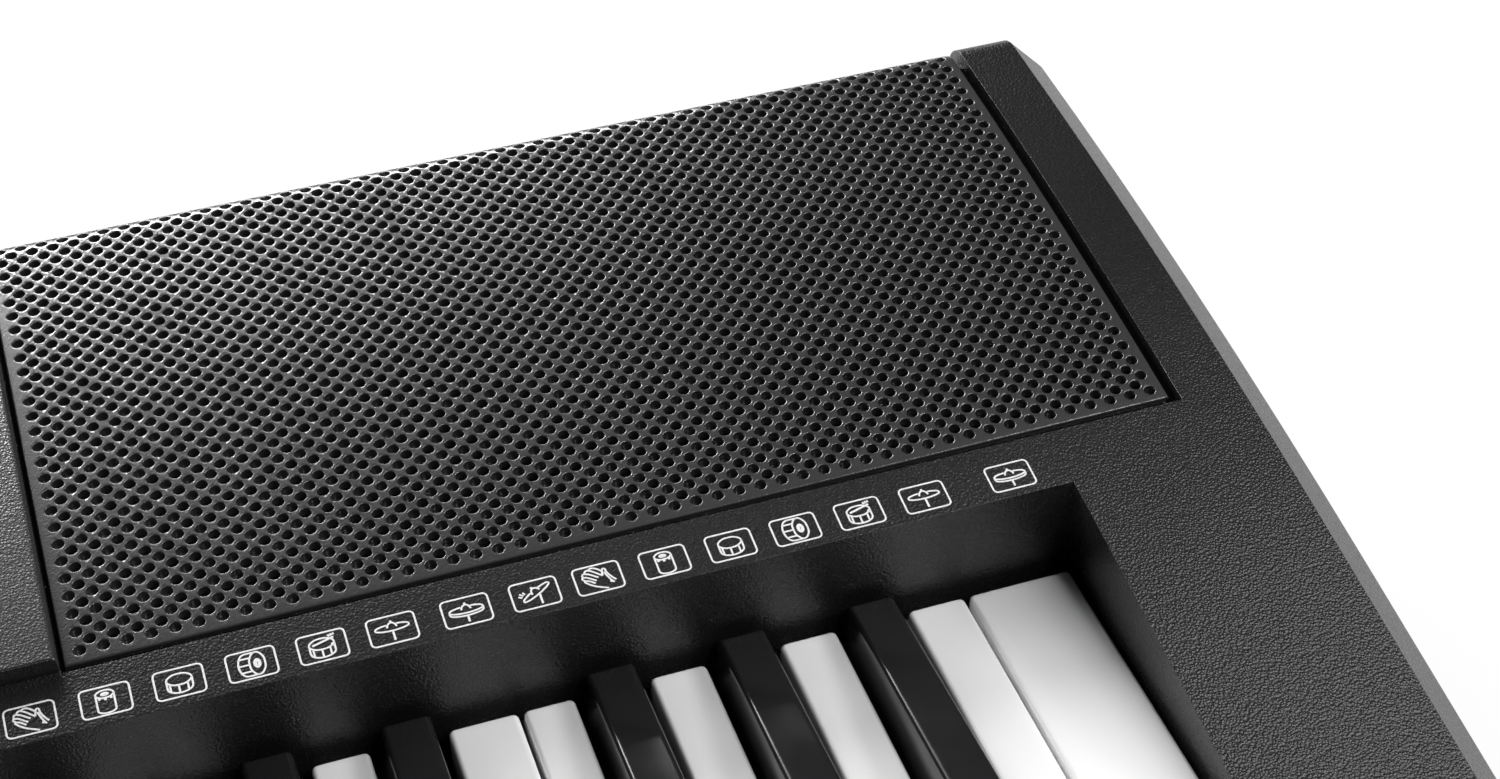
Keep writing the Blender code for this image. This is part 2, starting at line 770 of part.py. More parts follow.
def build_grille(name, side):
    low_x, high_x = side_range(side, grille_inner_x, grille_outer_x)
    bottom = grille_sink + grille_thickness
    plate = prism(name, deck_band(bottom, grille_sink, grille_front_y, grille_low(), steps=6), "X",
                  low_x, high_x)
    pitch = hole_pitch * hole_stride
    centre_x = side * (grille_inner_x + grille_outer_x) / 2
    margin = hole_pitch
    shape = bmesh.new()
    row_pitch = pitch / 2
    first_y = grille_front_y + margin
    rows = int((tangent_y - margin - first_y) / row_pitch) + 1
    for row in range(rows):
        y = first_y + row * row_pitch
        half_count = int((grille_length / 2 - margin) / pitch - (row % 2) / 2)
        for column in range(-half_count, half_count + 1 - row % 2):
            x = centre_x + (column + (row % 2) / 2) * pitch
            surface = deck_point(y, bottom)[1]
            place = Matrix.Translation((x, y, surface)) @ Matrix.Rotation(deck_slope(y), 4, "X")
            bmesh.ops.create_cone(shape, cap_ends=True, segments=4, radius1=hole_size / 2,
                                  radius2=hole_size / 2,
                                  depth=4 * grille_thickness, matrix=place)
    holes = tool_object("grille_holes", mesh_from_bmesh("grille_holes", shape))
    cut(plate, holes)
    finish(plate, name, "grille_black")


def build_speaker(name, side):
    frame = speaker_frame(side)
    top = -(speaker_ring_drop + seat_gap)
    profile = [
        (0, top - 9 * mm),
        (8 * mm, top - 10.5 * mm),
        (13 * mm, top - 14 * mm),
        (cone_radius - 5 * mm, top - 3 * mm),
        (cone_radius - 2.5 * mm, top - 1.5 * mm),
        (cone_radius, top - 3 * mm),
        (cone_radius + 2 * mm, top),
        (speaker_radius, top),
        (speaker_radius, top - 2.5 * mm),
        (cone_radius + 2 * mm, top - 5 * mm),
        (magnet_radius, top - magnet_top),
        (magnet_radius, top - speaker_depth),
        (0, top - speaker_depth),
    ]
    speaker = turned(name, profile, 16)
    finish(speaker, name, "speaker_paper", frame=frame)


# Control panel. Its pieces are drawn flat, with the panel's face at zero height.

single_buttons = {
    "start_stop_button": (-190 * mm, front_row_y),
    "intro_button": (-166 * mm, front_row_y),
    "fill_button": (-142 * mm, front_row_y),
    "sync_button": (-118 * mm, front_row_y),
    "tempo_down_button": (-118 * mm, -8 * mm),
    "tempo_up_button": (-118 * mm, 10 * mm),
    "power_button": (-194 * mm, panel_depth / 2 - power_inset),
}
knob_place = (-160 * mm, 18 * mm)
stud_places = ((-180 * mm, 0), (-96 * mm, 30 * mm), (-96 * mm, -18 * mm), (100 * mm, 30 * mm),
               (100 * mm, -18 * mm),
               (200 * mm, 0))
rest_slots = ((-100 * mm, panel_depth / 2 - slot_inset), (100 * mm, panel_depth / 2 - slot_inset))
pad_centre = (158 * mm, 2 * mm)
pad_counts = (4, 4)
row_centre = (0, front_row_y)
row_counts = (7, 1)
row_step = (21 * mm, 0)


def grid_places(centre, counts, step):
    places = []
    for across in range(counts[0]):
        for along in range(counts[1]):
            x = centre[0] + (across - (counts[0] - 1) / 2) * step[0]
            y = centre[1] + (along - (counts[1] - 1) / 2) * step[1]
            places.append((x, y))
    return places


def centred_box(name, centre, size, low, high):
    return box(name, (centre[0] - size[0] / 2, centre[1] - size[1] / 2, low),
               (centre[0] + size[0] / 2, centre[1] + size[1] / 2, high))


def grown(size, margin):
    return (size[0] + 2 * margin, size[1] + 2 * margin)


def is_upright(first, second):
    return abs(first.x - second.x) + abs(first.y - second.y) < 0.01 * mm


def build_panel(frame):
    panel = centred_box("control_panel", (0, 0), (2 * panel_half_length, panel_depth), -panel_skirt, 0)

    def on_shoulder(first, second):
        return min(first.z, second.z) > -0.01 * mm and abs(first.x - second.x) < 0.01 * mm

    def round_the_ends(first, second):
        on_end = min(abs(first.y), abs(second.y)) > panel_depth / 2 - 0.01 * mm
        return on_end and max(first.z, second.z) > -panel_skirt + 0.01 * mm
    bevel_edges(panel, on_shoulder, panel_round, 2)
    bevel_edges(panel, round_the_ends, panel_corner)
    inside = grown((2 * panel_half_length, panel_depth), -panel_wall)
    hollow = centred_box("panel_hollow", (0, 0), inside, -2 * panel_skirt, -panel_wall)
    cut(panel, hollow)
    for place in stud_places:
        fuse(panel,
             cylinder("stud", 2.5 * mm, -board_drop + seat_gap, -panel_wall / 2, centre=place, segments=8))
    holes = []
    for place in single_buttons.values():
        holes.append(centred_box("hole", place, grown(small_button, slide_gap), -2 * panel_wall,
                                 panel_wall))
    for place in grid_places(pad_centre, pad_counts, pad_step):
        holes.append(centred_box("hole", place, grown(pad_button, slide_gap), -2 * panel_wall, panel_wall))
    for place in grid_places(row_centre, row_counts, row_step):
        holes.append(centred_box("hole", place, grown(small_button, slide_gap), -2 * panel_wall,
                                 panel_wall))
    for place in rest_slots:
        holes.append(centred_box("rest_slot", place, rest_slot, -2 * panel_wall, panel_wall))
    holes.append(cylinder("shaft_hole", knob_shaft_radius + slide_gap, -2 * panel_wall, panel_wall,
                          centre=knob_place, segments=12))
    holes.append(centred_box("window_seat", window_centre, grown(window_size, seat_gap),
                             -(window_thickness + 2 * seat_gap), panel_wall))
    holes.append(centred_box("window_hole", window_centre, grown(window_size, -window_border),
                             -2 * panel_wall, panel_wall))
    cut(panel, *holes)
    finish(panel, "control_panel", "panel_grey", frame=frame)


def board_half():
    half_length, half_depth = panel_pocket()
    return half_length - panel_ledge - 4 * mm, half_depth - panel_ledge - 3 * mm


def cap(place, size, low):
    button = centred_box("cap", place, size, low, button_rise)
    return bevel_edges(button, lambda first, second: min(first.z, second.z) > button_rise - 0.01 * mm,
                       0.6 * mm)


def build_buttons(frame):
    flange_top = -(panel_wall + seat_gap)
    flange_low = flange_top - button_flange
    for name, place in single_buttons.items():
        button = cap(place, small_button, flange_low)
        flange = centred_box("flange", place, grown(small_button, 1.5 * mm), flange_low, flange_top)
        fuse(button, flange)
        finish(button, name, "button_grey", origin=(place[0], place[1], 0), frame=frame)
    groups = (
        ("number_pad", pad_centre, pad_counts, pad_step, pad_button),
        ("function_buttons", row_centre, row_counts, row_step, small_button),
    )
    for name, centre, counts, step, size in groups:
        span = ((counts[0] - 1) * step[0] + size[0], (counts[1] - 1) * step[1] + size[1])
        web = centred_box(name, centre, grown(span, 1.5 * mm), flange_low, flange_top)
        caps = [cap(place, size, (flange_low + flange_top) / 2)
                for place in grid_places(centre, counts, step)]
        fuse(web, *caps)
        finish(web, name, "button_grey", origin=(centre[0], centre[1], 0), frame=frame)


def build_knob(frame):
    profile = [
        (0, knob_height),
        (knob_radius - 2 * mm, knob_height),
        (knob_radius - 1 * mm, knob_height - 1 * mm),
        (knob_radius, 2 * mm),
        (knob_radius, 2 * seat_gap),
        (knob_shaft_radius, 2 * seat_gap),
        (knob_shaft_radius, -board_drop + 2.4 * mm + seat_gap),
        (0, -board_drop + 2.4 * mm + seat_gap),
    ]
    knob = turned("volume_knob", profile, 20)
    pointer = box("pointer", (-0.6 * mm, knob_radius * 0.35, knob_height - 0.6 * mm),
                  (0.6 * mm, knob_radius * 1.2, 2 * knob_height))
    cut(knob, pointer)
    place = Matrix.Translation((knob_place[0], knob_place[1], 0))
    finish(knob, "volume_knob", "button_grey", frame=frame @ place)


def build_display(frame):
    window = centred_box("display_window", window_centre, window_size, -(window_thickness + seat_gap),
                         -seat_gap)
    finish(window, "display_window", "window_clear", frame=frame)
    top = -(panel_wall + seat_gap)
    module_size = grown(window_size, -1 * mm)
    module = centred_box("display_module", window_centre, module_size, top - 6.5 * mm, top)
    step = centred_box("module_step", window_centre, grown(window_size, -window_border - 1 * mm),
                       top - 1 * mm, top + 0.4 * mm)
    fuse(module, step)
    finish(module, "display_module", "display_grey", frame=frame)


def switch_places():
    places = list(single_buttons.values())
    places += grid_places(pad_centre, pad_counts, pad_step)
    places += grid_places(row_centre, row_counts, row_step)
    return places


def build_panel_board(frame):
    half_length, half_width = board_half()
    low = -board_drop - board_thickness
    board = box("panel_board", (-half_length, -half_width, low), (half_length, half_width, -board_drop))
    switch_top = -(panel_wall + 2 * seat_gap + button_flange + button_travel)
    for place in switch_places():
        fuse(board, centred_box("switch", place, (6 * mm, 6 * mm), -board_drop - 0.5 * mm, switch_top))
    pot = centred_box("pot", knob_place, (16 * mm, 16 * mm), -board_drop - 0.5 * mm, -board_drop + 2.4 * mm)
    fuse(board, pot)
    finish(board, "panel_board", "board_green", frame=frame)


# Sockets and main board

def main_board_centre():
    x = socket_start_x - socket_spacing
    return x, rear_y - case_wall - seat_gap - main_board_size[1] / 2 - 2 * mm


def main_board_bottom():
    return socket_height - socket_body / 2 - seat_gap - board_thickness


def build_main_board():
    x, y = main_board_centre()
    low = main_board_bottom()
    top = low + board_thickness
    board = centred_box("main_board", (x, y), main_board_size, low, top)
    for across, along, size, height in board_parts:
        chip = centred_box("chip", (x + across * mm, y + along * mm), (size[0] * mm, size[1] * mm),
                           top - 0.5 * mm, top + height * mm)
        fuse(board, chip)
    finish(board, "main_board", "board_green")


def build_sockets():
    front = rear_y - case_wall - seat_gap
    bores = (("power_socket", power_bore_radius), ("headphone_socket", plug_radius),
             ("pedal_socket", plug_radius))
    for index, (name, bore) in enumerate(bores):
        x = socket_start_x - index * socket_spacing
        half = socket_body / 2
        socket = box(name, (x - half, front - socket_length, socket_height - half),
                     (x + half, front, socket_height + half))
        fuse(socket,
             cylinder("barrel", barrel_radius, front - 2 * mm, rear_y, centre=(x, socket_height), axis="Y",
                      segments=16))
        cut(socket,
            cylinder("bore", bore, front - socket_length + 3 * mm, rear_y + 2 * mm,
                     centre=(x, socket_height), axis="Y", segments=12))
        finish(socket, name, "socket_black")


# Key bed

def build_chassis():
    front = key_front_y + 4 * mm
    back = bed_back_y
    felt_seat = felt_bottom() - seat_gap
    beam_top = rail_bottoms[0] - seat_gap
    board_seat = contact_board_bottom() - seat_gap
    outline = [(front, bed_bottom), (back, bed_bottom), (back, beam_top), (hinge_y - 1 * mm, beam_top),
               (hinge_y - 1 * mm, bed_top)]
    for y in (contact_board_span()[1] - 4 * mm, contact_board_span()[0] + 4 * mm):
        outline += [(y + 1 * mm, bed_top), (y + 1 * mm, board_seat), (y - 1 * mm, board_seat),
                    (y - 1 * mm, bed_top)]
    outline += [(front + felt_width + 4 * mm, bed_top), (front + felt_width + 4 * mm, felt_seat),
                (front, felt_seat)]
    chassis = prism("key_chassis", outline, "X", -keys_half, keys_half)
    hollow = box("beam_hollow", (-keys_half + case_wall, hinge_y + 1.5 * mm, bed_bottom - case_wall),
                 (keys_half - case_wall, back - case_wall, beam_top - case_wall))
    cut(chassis, hollow)

    # The last comb's three rails are screwed to the beam as one stack.
    stack_low = keys_half - 8 * key_pitch
    stack = box("rail_stack", (stack_low, hinge_y, beam_top - 1 * mm),
                (keys_half - 1 * mm, hinge_y + rail_depth, rail_bottoms[2] + rail_thickness))
    fuse(chassis, stack)

    guide_y = front + felt_width + 12 * mm
    guide_top = key_top - key_roof - key_dip(guide_y) - 2 * mm
    guides = []
    for index in range(white_keys):
        x = -keys_half + (index + 0.5) * key_pitch
        guides.append(box("guide", (x - guide_width / 2, guide_y - 3 * mm, bed_top - 1 * mm),
                          (x + guide_width / 2, guide_y + 3 * mm, guide_top)))
    fuse(chassis, *guides)
    finish(chassis, "key_chassis", "chassis_grey")


def key_dip(y):
    return (hinge_y - y) * math.sin(key_dip_angle)


def felt_bottom():
    return skirt_bottom - key_dip(key_front_y) - seat_gap - felt_thickness


def contact_board_span():
    middle = (notch_y + key_rear_y) / 2
    return middle - contact_board_half, middle + contact_board_half


def contact_board_bottom():
    # A key pressed home just reaches the rubber's ridges.
    front_ridge_y = (notch_y + key_rear_y) / 2 - ridge_offset - ridge_foot
    ridge_top = skirt_bottom - key_dip(front_ridge_y) - seat_gap
    return ridge_top - rubber_thickness - seat_gap - board_thickness


def build_felt_and_contacts():
    front = key_front_y + 6 * mm
    felt = box("key_stop_felt", (-keys_half + 2 * mm, front, felt_bottom()),
               (keys_half - 2 * mm, front + felt_width, felt_bottom() + felt_thickness))
    finish(felt, "key_stop_felt", "felt_red")
    low_y, high_y = contact_board_span()
    low = contact_board_bottom()
    board = box("contact_board", (-keys_half + 4 * mm, low_y, low),
                (keys_half - 4 * mm, high_y, low + board_thickness))
    finish(board, "contact_board", "board_green")
    base = low + board_thickness + seat_gap
    middle = (low_y + high_y) / 2
    skin = base + 1 * mm
    crown = base + rubber_thickness
    half = rubber_width / 2
    section = [(middle - half, base), (middle + half, base), (middle + half, skin)]
    for y in (middle + ridge_offset, middle - ridge_offset):
        section += [(y + ridge_foot, skin), (y + ridge_crown, crown), (y - ridge_crown, crown),
                    (y - ridge_foot, skin)]
    section += [(middle - half, skin)]
    rubber = prism("contact_rubber", section, "X", -keys_half + 6 * mm, keys_half - 6 * mm)
    finish(rubber, "contact_rubber", "contact_rubber")


# Keys. An octave is drawn from X = 0, with its hinge line at its true height and depth.

white_names = ("c", "d", "e", "f", "g", "a", "b")
black_names = {1: "c_sharp", 2: "d_sharp", 4: "f_sharp", 5: "g_sharp", 6: "a_sharp"}
lower_comb = ("c", "e", "g", "b")
upper_comb = ("d", "f", "a")
black_level = len(rail_bottoms) - 1


def white_level(note):
    return 0 if note in lower_comb else 1


def black_centre(boundary):
    return boundary * key_pitch + black_shift[boundary]


def tail_edges(index, plain):
    # Left and right edge of a white key between the black ones.
    reach = black_base_width / 2 + black_side_gap
    left = index * key_pitch + key_gap / 2
    right = (index + 1) * key_pitch - key_gap / 2
    if plain:
        return left, right
    if index in black_shift:
        left = black_centre(index) + reach
    if index + 1 in black_shift:
        right = black_centre(index + 1) - reach
    return left, right


def neck_height(level):
    return rail_bottoms[level] + rail_thickness / 2


def arm(x, root, level, end_y):
    # The bar that runs back from a key under the well's rear wall, thinning to its bending neck.
    neck = neck_height(level)
    outline = [
        root,
        (end_y, neck - neck_thickness / 2),
        (end_y, neck + neck_thickness / 2),
        (root[0], root[1] + arm_root_height),
    ]
    return prism("arm", outline, "X", x - arm_width / 2, x + arm_width / 2)


def hollow_out(item, bottom, wall, depth):
    # Sinks a pocket into the flat underside, leaving the wall round it.
    def work(shape):
        under = [face for face in shape.faces
                 if face.normal.z < -0.99 and face.calc_center_median().z < bottom + 0.01 * mm]
        bmesh.ops.inset_region(shape, faces=under, thickness=wall, depth=0, use_even_offset=True,
                               use_boundary=True)
        pushed = bmesh.ops.extrude_discrete_faces(shape, faces=under)
        for face in pushed["faces"]:
            bmesh.ops.translate(shape, vec=(0, 0, depth), verts=list(face.verts))
    return edit(item, work)


def white_key(index, end_y, plain=False):
    left, right = tail_edges(index, plain)
    head_left = index * key_pitch + key_gap / 2
    head_right = (index + 1) * key_pitch - key_gap / 2
    outline = [(head_left, key_front_y), (head_right, key_front_y)]
    if right < head_right:
        outline += [(head_right, notch_y), (right, notch_y)]
    outline += [(right, key_rear_y), (left, key_rear_y)]
    if left > head_left:
        outline += [(left, notch_y), (head_left, notch_y)]
    key = prism("white_key", outline, "Z", skirt_bottom, key_top)
    bevel_edges(key, lambda first, second: min(first.z, second.z) > key_top - 0.01 * mm, key_round)
    hollow_out(key, skirt_bottom, key_wall, skirt_depth - key_roof)
    level = white_level(white_names[index % 7])
    root = (key_rear_y - key_wall / 2, key_top - white_arm_drop)
    return fuse(key, arm((left + right) / 2, root, level, end_y))


def black_key(boundary, end_y):
    x = black_centre(boundary)
    front = notch_y + black_front_gap
    back = key_rear_y + black_overhang
    key = box("black_key", (x - black_base_width / 2, front, skirt_bottom),
              (x + black_base_width / 2, back, key_top))

    def taper(shape):
        for vertex in shape.verts:
            if vertex.co.z > skirt_bottom + mm:
                at_front = vertex.co.y < (front + back) / 2
                vertex.co.x = x + math.copysign(black_top_width / 2, vertex.co.x - x)
                vertex.co.y = front + black_setback if at_front else back
                vertex.co.z = key_top + (black_rise_front if at_front else black_rise_rear)
    edit(key, taper)
    bevel_edges(key, lambda first, second: min(first.z, second.z) > key_top, key_round)
    hollow_out(key, skirt_bottom, key_wall, skirt_depth / 2)
    root = (back - key_wall / 2, key_top - black_arm_drop)
    return fuse(key, arm(x, root, black_level, end_y))


def comb(name, keys, centres, level):
    low = rail_bottoms[level]
    margin = arm_width / 2 + 1 * mm
    rail = box(name, (min(centres) - margin, hinge_y, low),
               (max(centres) + margin, hinge_y + rail_depth, low + rail_thickness))
    return fuse(rail, *keys)


def build_keys():
    into_rail = hinge_y + 0.5 * mm
    groups = {
        "keys_c_e_g_b": lower_comb,
        "keys_d_f_a": upper_comb,
    }
    octave_length = 7 * key_pitch
    for group, notes in groups.items():
        level = white_level(notes[0])
        members = [white_names.index(note) for note in notes]
        centres = [sum(tail_edges(index, False)) / 2 for index in members]
        keys = [white_key(index, into_rail) for index in members]
        first = comb(group, keys, centres, level)
        repeat_comb(first, group, "key_white", level, octave_length)
    keys = [black_key(boundary, into_rail) for boundary in black_shift]
    centres = [black_centre(boundary) for boundary in black_shift]
    first = comb("sharps", keys, centres, black_level)
    repeat_comb(first, "sharps", "key_black", black_level, octave_length)

    last = octaves - 1
    at_neck = hinge_y - seat_gap
    for index, note in enumerate(white_names):
        place_key(white_key(index, at_neck), "key_" + note, "key_white", white_level(note),
                  last * octave_length)
    for boundary, note in black_names.items():
        place_key(black_key(boundary, at_neck), "key_" + note, "key_black", black_level,
                  last * octave_length)
    place_key(white_key(7, at_neck, plain=True), "key_top_c", "key_white", white_level("c"),
              last * octave_length)


def repeat_comb(first, group, material, level, octave_length):
    hinge = (0, hinge_y, neck_height(level))
    finish(first, "octave_1_" + group, material, origin=hinge)
    first.location.x = -keys_half
    for octave in range(1, octaves - 1):
        place = (-keys_half + octave * octave_length, hinge[1], hinge[2])
        copy_of(first, "octave_%d_%s" % (octave + 1, group), place)


def place_key(key, name, material, level, start):
    finish(key, name, material, origin=(0, hinge_y, neck_height(level)))
    key.location.x = start - keys_half


def build_keyboard():
    panel = panel_frame()
    build_lower_case()
    build_upper_case()
    build_feet()
    build_battery_door()
    build_battery_contacts()
    build_chassis()
    build_felt_and_contacts()
    build_keys()
    for name, side in (("right_grille", 1), ("left_grille", -1)):
        build_grille(name, side)
    for name, side in (("right_speaker", 1), ("left_speaker", -1)):
        build_speaker(name, side)
    build_panel(panel)
    build_buttons(panel)
    build_knob(panel)
    build_display(panel)
    build_panel_board(panel)
    build_main_board()
    build_sockets()


build_keyboard()
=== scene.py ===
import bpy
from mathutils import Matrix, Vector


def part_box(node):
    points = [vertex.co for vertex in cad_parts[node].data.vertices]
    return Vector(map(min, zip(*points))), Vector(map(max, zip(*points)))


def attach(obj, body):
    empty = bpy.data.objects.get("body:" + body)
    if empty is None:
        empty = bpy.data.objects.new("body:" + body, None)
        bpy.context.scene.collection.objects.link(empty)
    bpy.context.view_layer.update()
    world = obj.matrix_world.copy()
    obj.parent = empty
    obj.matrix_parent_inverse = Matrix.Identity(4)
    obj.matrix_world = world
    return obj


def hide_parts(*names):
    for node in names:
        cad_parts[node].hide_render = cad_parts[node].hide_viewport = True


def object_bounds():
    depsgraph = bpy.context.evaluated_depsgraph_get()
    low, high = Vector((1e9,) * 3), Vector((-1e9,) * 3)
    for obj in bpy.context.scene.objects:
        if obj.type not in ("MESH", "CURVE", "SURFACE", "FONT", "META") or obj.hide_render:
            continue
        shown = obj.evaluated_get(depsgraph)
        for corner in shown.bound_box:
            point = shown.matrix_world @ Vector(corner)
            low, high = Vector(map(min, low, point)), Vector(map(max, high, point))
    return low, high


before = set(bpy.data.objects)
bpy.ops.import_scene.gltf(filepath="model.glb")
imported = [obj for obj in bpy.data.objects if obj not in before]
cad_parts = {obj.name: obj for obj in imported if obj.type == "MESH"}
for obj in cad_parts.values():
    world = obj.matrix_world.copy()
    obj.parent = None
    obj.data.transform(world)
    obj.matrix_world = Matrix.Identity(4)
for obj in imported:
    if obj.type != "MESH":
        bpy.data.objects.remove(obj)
cadBox = [list(corner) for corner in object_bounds()]

import math

import bmesh
import bpy
from mathutils import Matrix, Vector

mm = 0.001
frontFace, rearFace = cadBox[0][1], cadBox[1][1]
endFace = cadBox[1][0]
print("scene: frame loaded,", len(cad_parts), "solids")


# ---- helpers

def hexToLinear(text):
    channels = [int(text[start:start + 2], 16) / 255 for start in (1, 3, 5)]
    linear = [c / 12.92 if c <= 0.04045 else ((c + 0.055) / 1.055) ** 2.4 for c in channels]
    return (*linear, 1.0)


def addNode(tree, kind, settings=None, inputs=None):
    # adds one node; an input's value is a number, a colour or another node's output
    node = tree.nodes.new(kind)
    for key, value in (settings or {}).items():
        setattr(node, key, value)
    for key, value in (inputs or {}).items():
        if isinstance(value, bpy.types.NodeSocket):
            tree.links.new(value, node.inputs[key])
        else:
            node.inputs[key].default_value = value
    return node


def startMaterial(name, shaderValues):
    material = bpy.data.materials.new(name)
    material.use_nodes = True
    tree = material.node_tree
    shader = tree.nodes["Principled BSDF"]
    for key, value in shaderValues.items():
        shader.inputs[key].default_value = value
    coordinates = addNode(tree, "ShaderNodeTexCoord").outputs["Object"]
    return material, tree, shader, coordinates


def setRamp(ramp, stops):
    elements = ramp.color_ramp.elements
    while len(elements) < len(stops):
        elements.new(0.5)
    for element, (position, colour) in zip(elements, stops):
        element.position = position
        element.color = hexToLinear(colour) if isinstance(colour, str) else (colour, colour, colour, 1.0)


def paint(item, material):
    item.data.materials.clear()
    item.data.materials.append(material)


def newPiece(name, shape, material, body, standsFor=(), smoothAngle=35):
    # turns a bmesh into a finished piece that rides on a body
    mesh = bpy.data.meshes.new(name)
    shape.to_mesh(mesh)
    shape.free()
    item = bpy.data.objects.new(name, mesh)
    bpy.context.scene.collection.objects.link(item)
    paint(item, material)
    if smoothAngle:
        mesh.shade_smooth()
        mesh.set_sharp_from_angle(angle=math.radians(smoothAngle))
    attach(item, body)
    if standsFor:
        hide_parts(*standsFor)
    return item


def roundEdges(shape, edges, offset, segments=2):
    return bmesh.ops.bevel(shape, geom=edges, offset=offset, offset_type="OFFSET", segments=segments, profile=0.5,
                           affect="EDGES", clamp_overlap=True, material=-1, miter_outer="ARC")


def tidyNormals(shape):
    bmesh.ops.remove_doubles(shape, verts=shape.verts, dist=0.001 * mm)
    bmesh.ops.recalc_face_normals(shape, faces=shape.faces)


def block(low, high, radius=0.0, segments=2, where=None):
    # a box between two corners with its edges rounded
    shape = bmesh.new()
    bmesh.ops.create_cube(shape, size=1.0)
    size = [high[axis] - low[axis] for axis in range(3)]
    centre = [(high[axis] + low[axis]) / 2 for axis in range(3)]
    bmesh.ops.scale(shape, vec=size, verts=shape.verts)
    bmesh.ops.translate(shape, vec=centre, verts=shape.verts)
    if radius:
        edges = [edge for edge in shape.edges if where is None or where(edge)]
        roundEdges(shape, edges, radius, segments)
    return shape


def isUpright(edge):
    first, second = edge.verts[0].co, edge.verts[1].co
    return (first - second).xy.length < 0.01 * mm


def roundedBlock(low, high, cornerRadius, topRadius, cornerSegments=4, topSegments=3):
    # a box with rounded upright corners and a rounded top rim
    shape = block(low, high, cornerRadius, cornerSegments, isUpright)
    rim = [edge for edge in shape.edges if min(vert.co.z for vert in edge.verts) > high[2] - 0.001 * mm]
    roundEdges(shape, rim, topRadius, topSegments)
    return shape


def spun(profile, steps=48):
    # turns a profile of (radius, height) points about Z
    shape = bmesh.new()
    verts = [shape.verts.new((radius, 0, height)) for radius, height in profile]
    edges = [shape.edges.new(pair) for pair in zip(verts, verts[1:])]
    bmesh.ops.spin(shape, geom=verts + edges, cent=(0, 0, 0), axis=(0, 0, 1), dvec=(0, 0, 0), angle=2 * math.pi,
                   steps=steps, use_merge=True, use_duplicate=False)
    tidyNormals(shape)
    return shape


def place(shape, matrix):
    bmesh.ops.transform(shape, matrix=matrix, verts=shape.verts)
    return shape


def merged(*shapes):
    # joins several bmeshes into one
    whole = bmesh.new()
    for shape in shapes:
        mesh = bpy.data.meshes.new("scratch")
        shape.to_mesh(mesh)
        shape.free()
        whole.from_mesh(mesh)
        bpy.data.meshes.remove(mesh)
    return whole


def solidCopy(node):
    # the merged and cleaned copy of a CAD solid, as a bmesh
    shape = bmesh.new()
    shape.from_mesh(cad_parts[node].data)
    bmesh.ops.remove_doubles(shape, verts=shape.verts, dist=0.002 * mm)
    bmesh.ops.dissolve_limit(shape, angle_limit=math.radians(0.2), verts=shape.verts, edges=shape.edges)
    return shape


def sharpEdges(shape, angle=32, where=None):
    edges = []
    for edge in shape.edges:
        if len(edge.link_faces) == 2 and edge.is_convex and edge.calc_face_angle() > math.radians(angle):
            if where is None or where(edge):
                edges.append(edge)
    return edges


# ---- camera, fitted to the photo's key spacing and grille holes

cameraFit = {
    "place": (0.24413, -0.33743, 0.43147),
    "turn": (49.804, 1.0073, -18.8332),
    "lens": 61.344,
    "sensor": 36.0,
}


def makeCamera():
    data = bpy.data.cameras.new("camera")
    data.lens = cameraFit["lens"]
    data.sensor_width = cameraFit["sensor"]
    data.clip_start = 0.01
    data.clip_end = 50
    camera = bpy.data.objects.new("camera", data)
    camera.location = cameraFit["place"]
    camera.rotation_euler = [math.radians(angle) for angle in cameraFit["turn"]]
    bpy.context.scene.collection.objects.link(camera)
    bpy.context.scene.camera = camera


makeCamera()


# ---- materials

finishes = {}


def grainBump(tree, coordinates, grainMm, strength, distanceMm, detail=1.0, warp=0.0):
    # the fine pebbled surface that a spark-eroded mould leaves on plastic
    grain = addNode(tree, "ShaderNodeTexNoise", {"noise_dimensions": "3D"},
                    {"Vector": coordinates, "Scale": 1 / (grainMm * mm), "Detail": detail, "Roughness": 0.5, "Distortion": warp})
    bump = addNode(tree, "ShaderNodeBump", None,
                   {"Strength": strength, "Distance": distanceMm * mm, "Height": grain.outputs["Fac"]})
    return grain, bump


def mottled(tree, coordinates, sizeMm, dark, light):
    # a slow drift between two close shades, as moulded plastic has
    drift = addNode(tree, "ShaderNodeTexNoise", None, {"Vector": coordinates, "Scale": 1 / (sizeMm * mm), "Detail": 3.0})
    ramp = addNode(tree, "ShaderNodeValToRGB", None, {"Fac": drift.outputs["Fac"]})
    setRamp(ramp, [(0.3, dark), (0.7, light)])
    return ramp.outputs["Color"]


def variedRoughness(tree, source, low, high):
    spread = addNode(tree, "ShaderNodeMapRange", None, {"Value": source, "From Min": 0.3, "From Max": 0.7,
                                                        "To Min": low, "To Max": high})
    return spread.outputs["Result"]


def pebbleBump(tree, coordinates, pebbleMm, distanceMm):
    # the pebbled grain of an etched mould; real pebbles are about 0.4 mm, drawn a little coarser so that they show
    cells = addNode(tree, "ShaderNodeTexVoronoi", {"feature": "F1"}, {"Vector": coordinates, "Scale": 1 / (pebbleMm * mm)})
    bump = addNode(tree, "ShaderNodeBump", {"invert": True},
                   {"Strength": 1.0, "Distance": distanceMm * mm, "Height": cells.outputs["Distance"]})
    return cells, bump


def pebbled(name, dark, light, roughness, pebbleMm, distanceMm, ior=1.53):
    # moulded ABS with an etched grain: a broad soft sheen, broken into tiny glints
    material, tree, shader, coordinates = startMaterial(name, {"IOR": ior})
    cells, bump = pebbleBump(tree, coordinates, pebbleMm, distanceMm)
    tree.links.new(mottled(tree, coordinates, 40, dark, light), shader.inputs["Base Color"])
    tree.links.new(variedRoughness(tree, cells.outputs["Distance"], roughness - 0.03, roughness + 0.03), shader.inputs["Roughness"])
    tree.links.new(bump.outputs["Normal"], shader.inputs["Normal"])
    finishes[name] = material


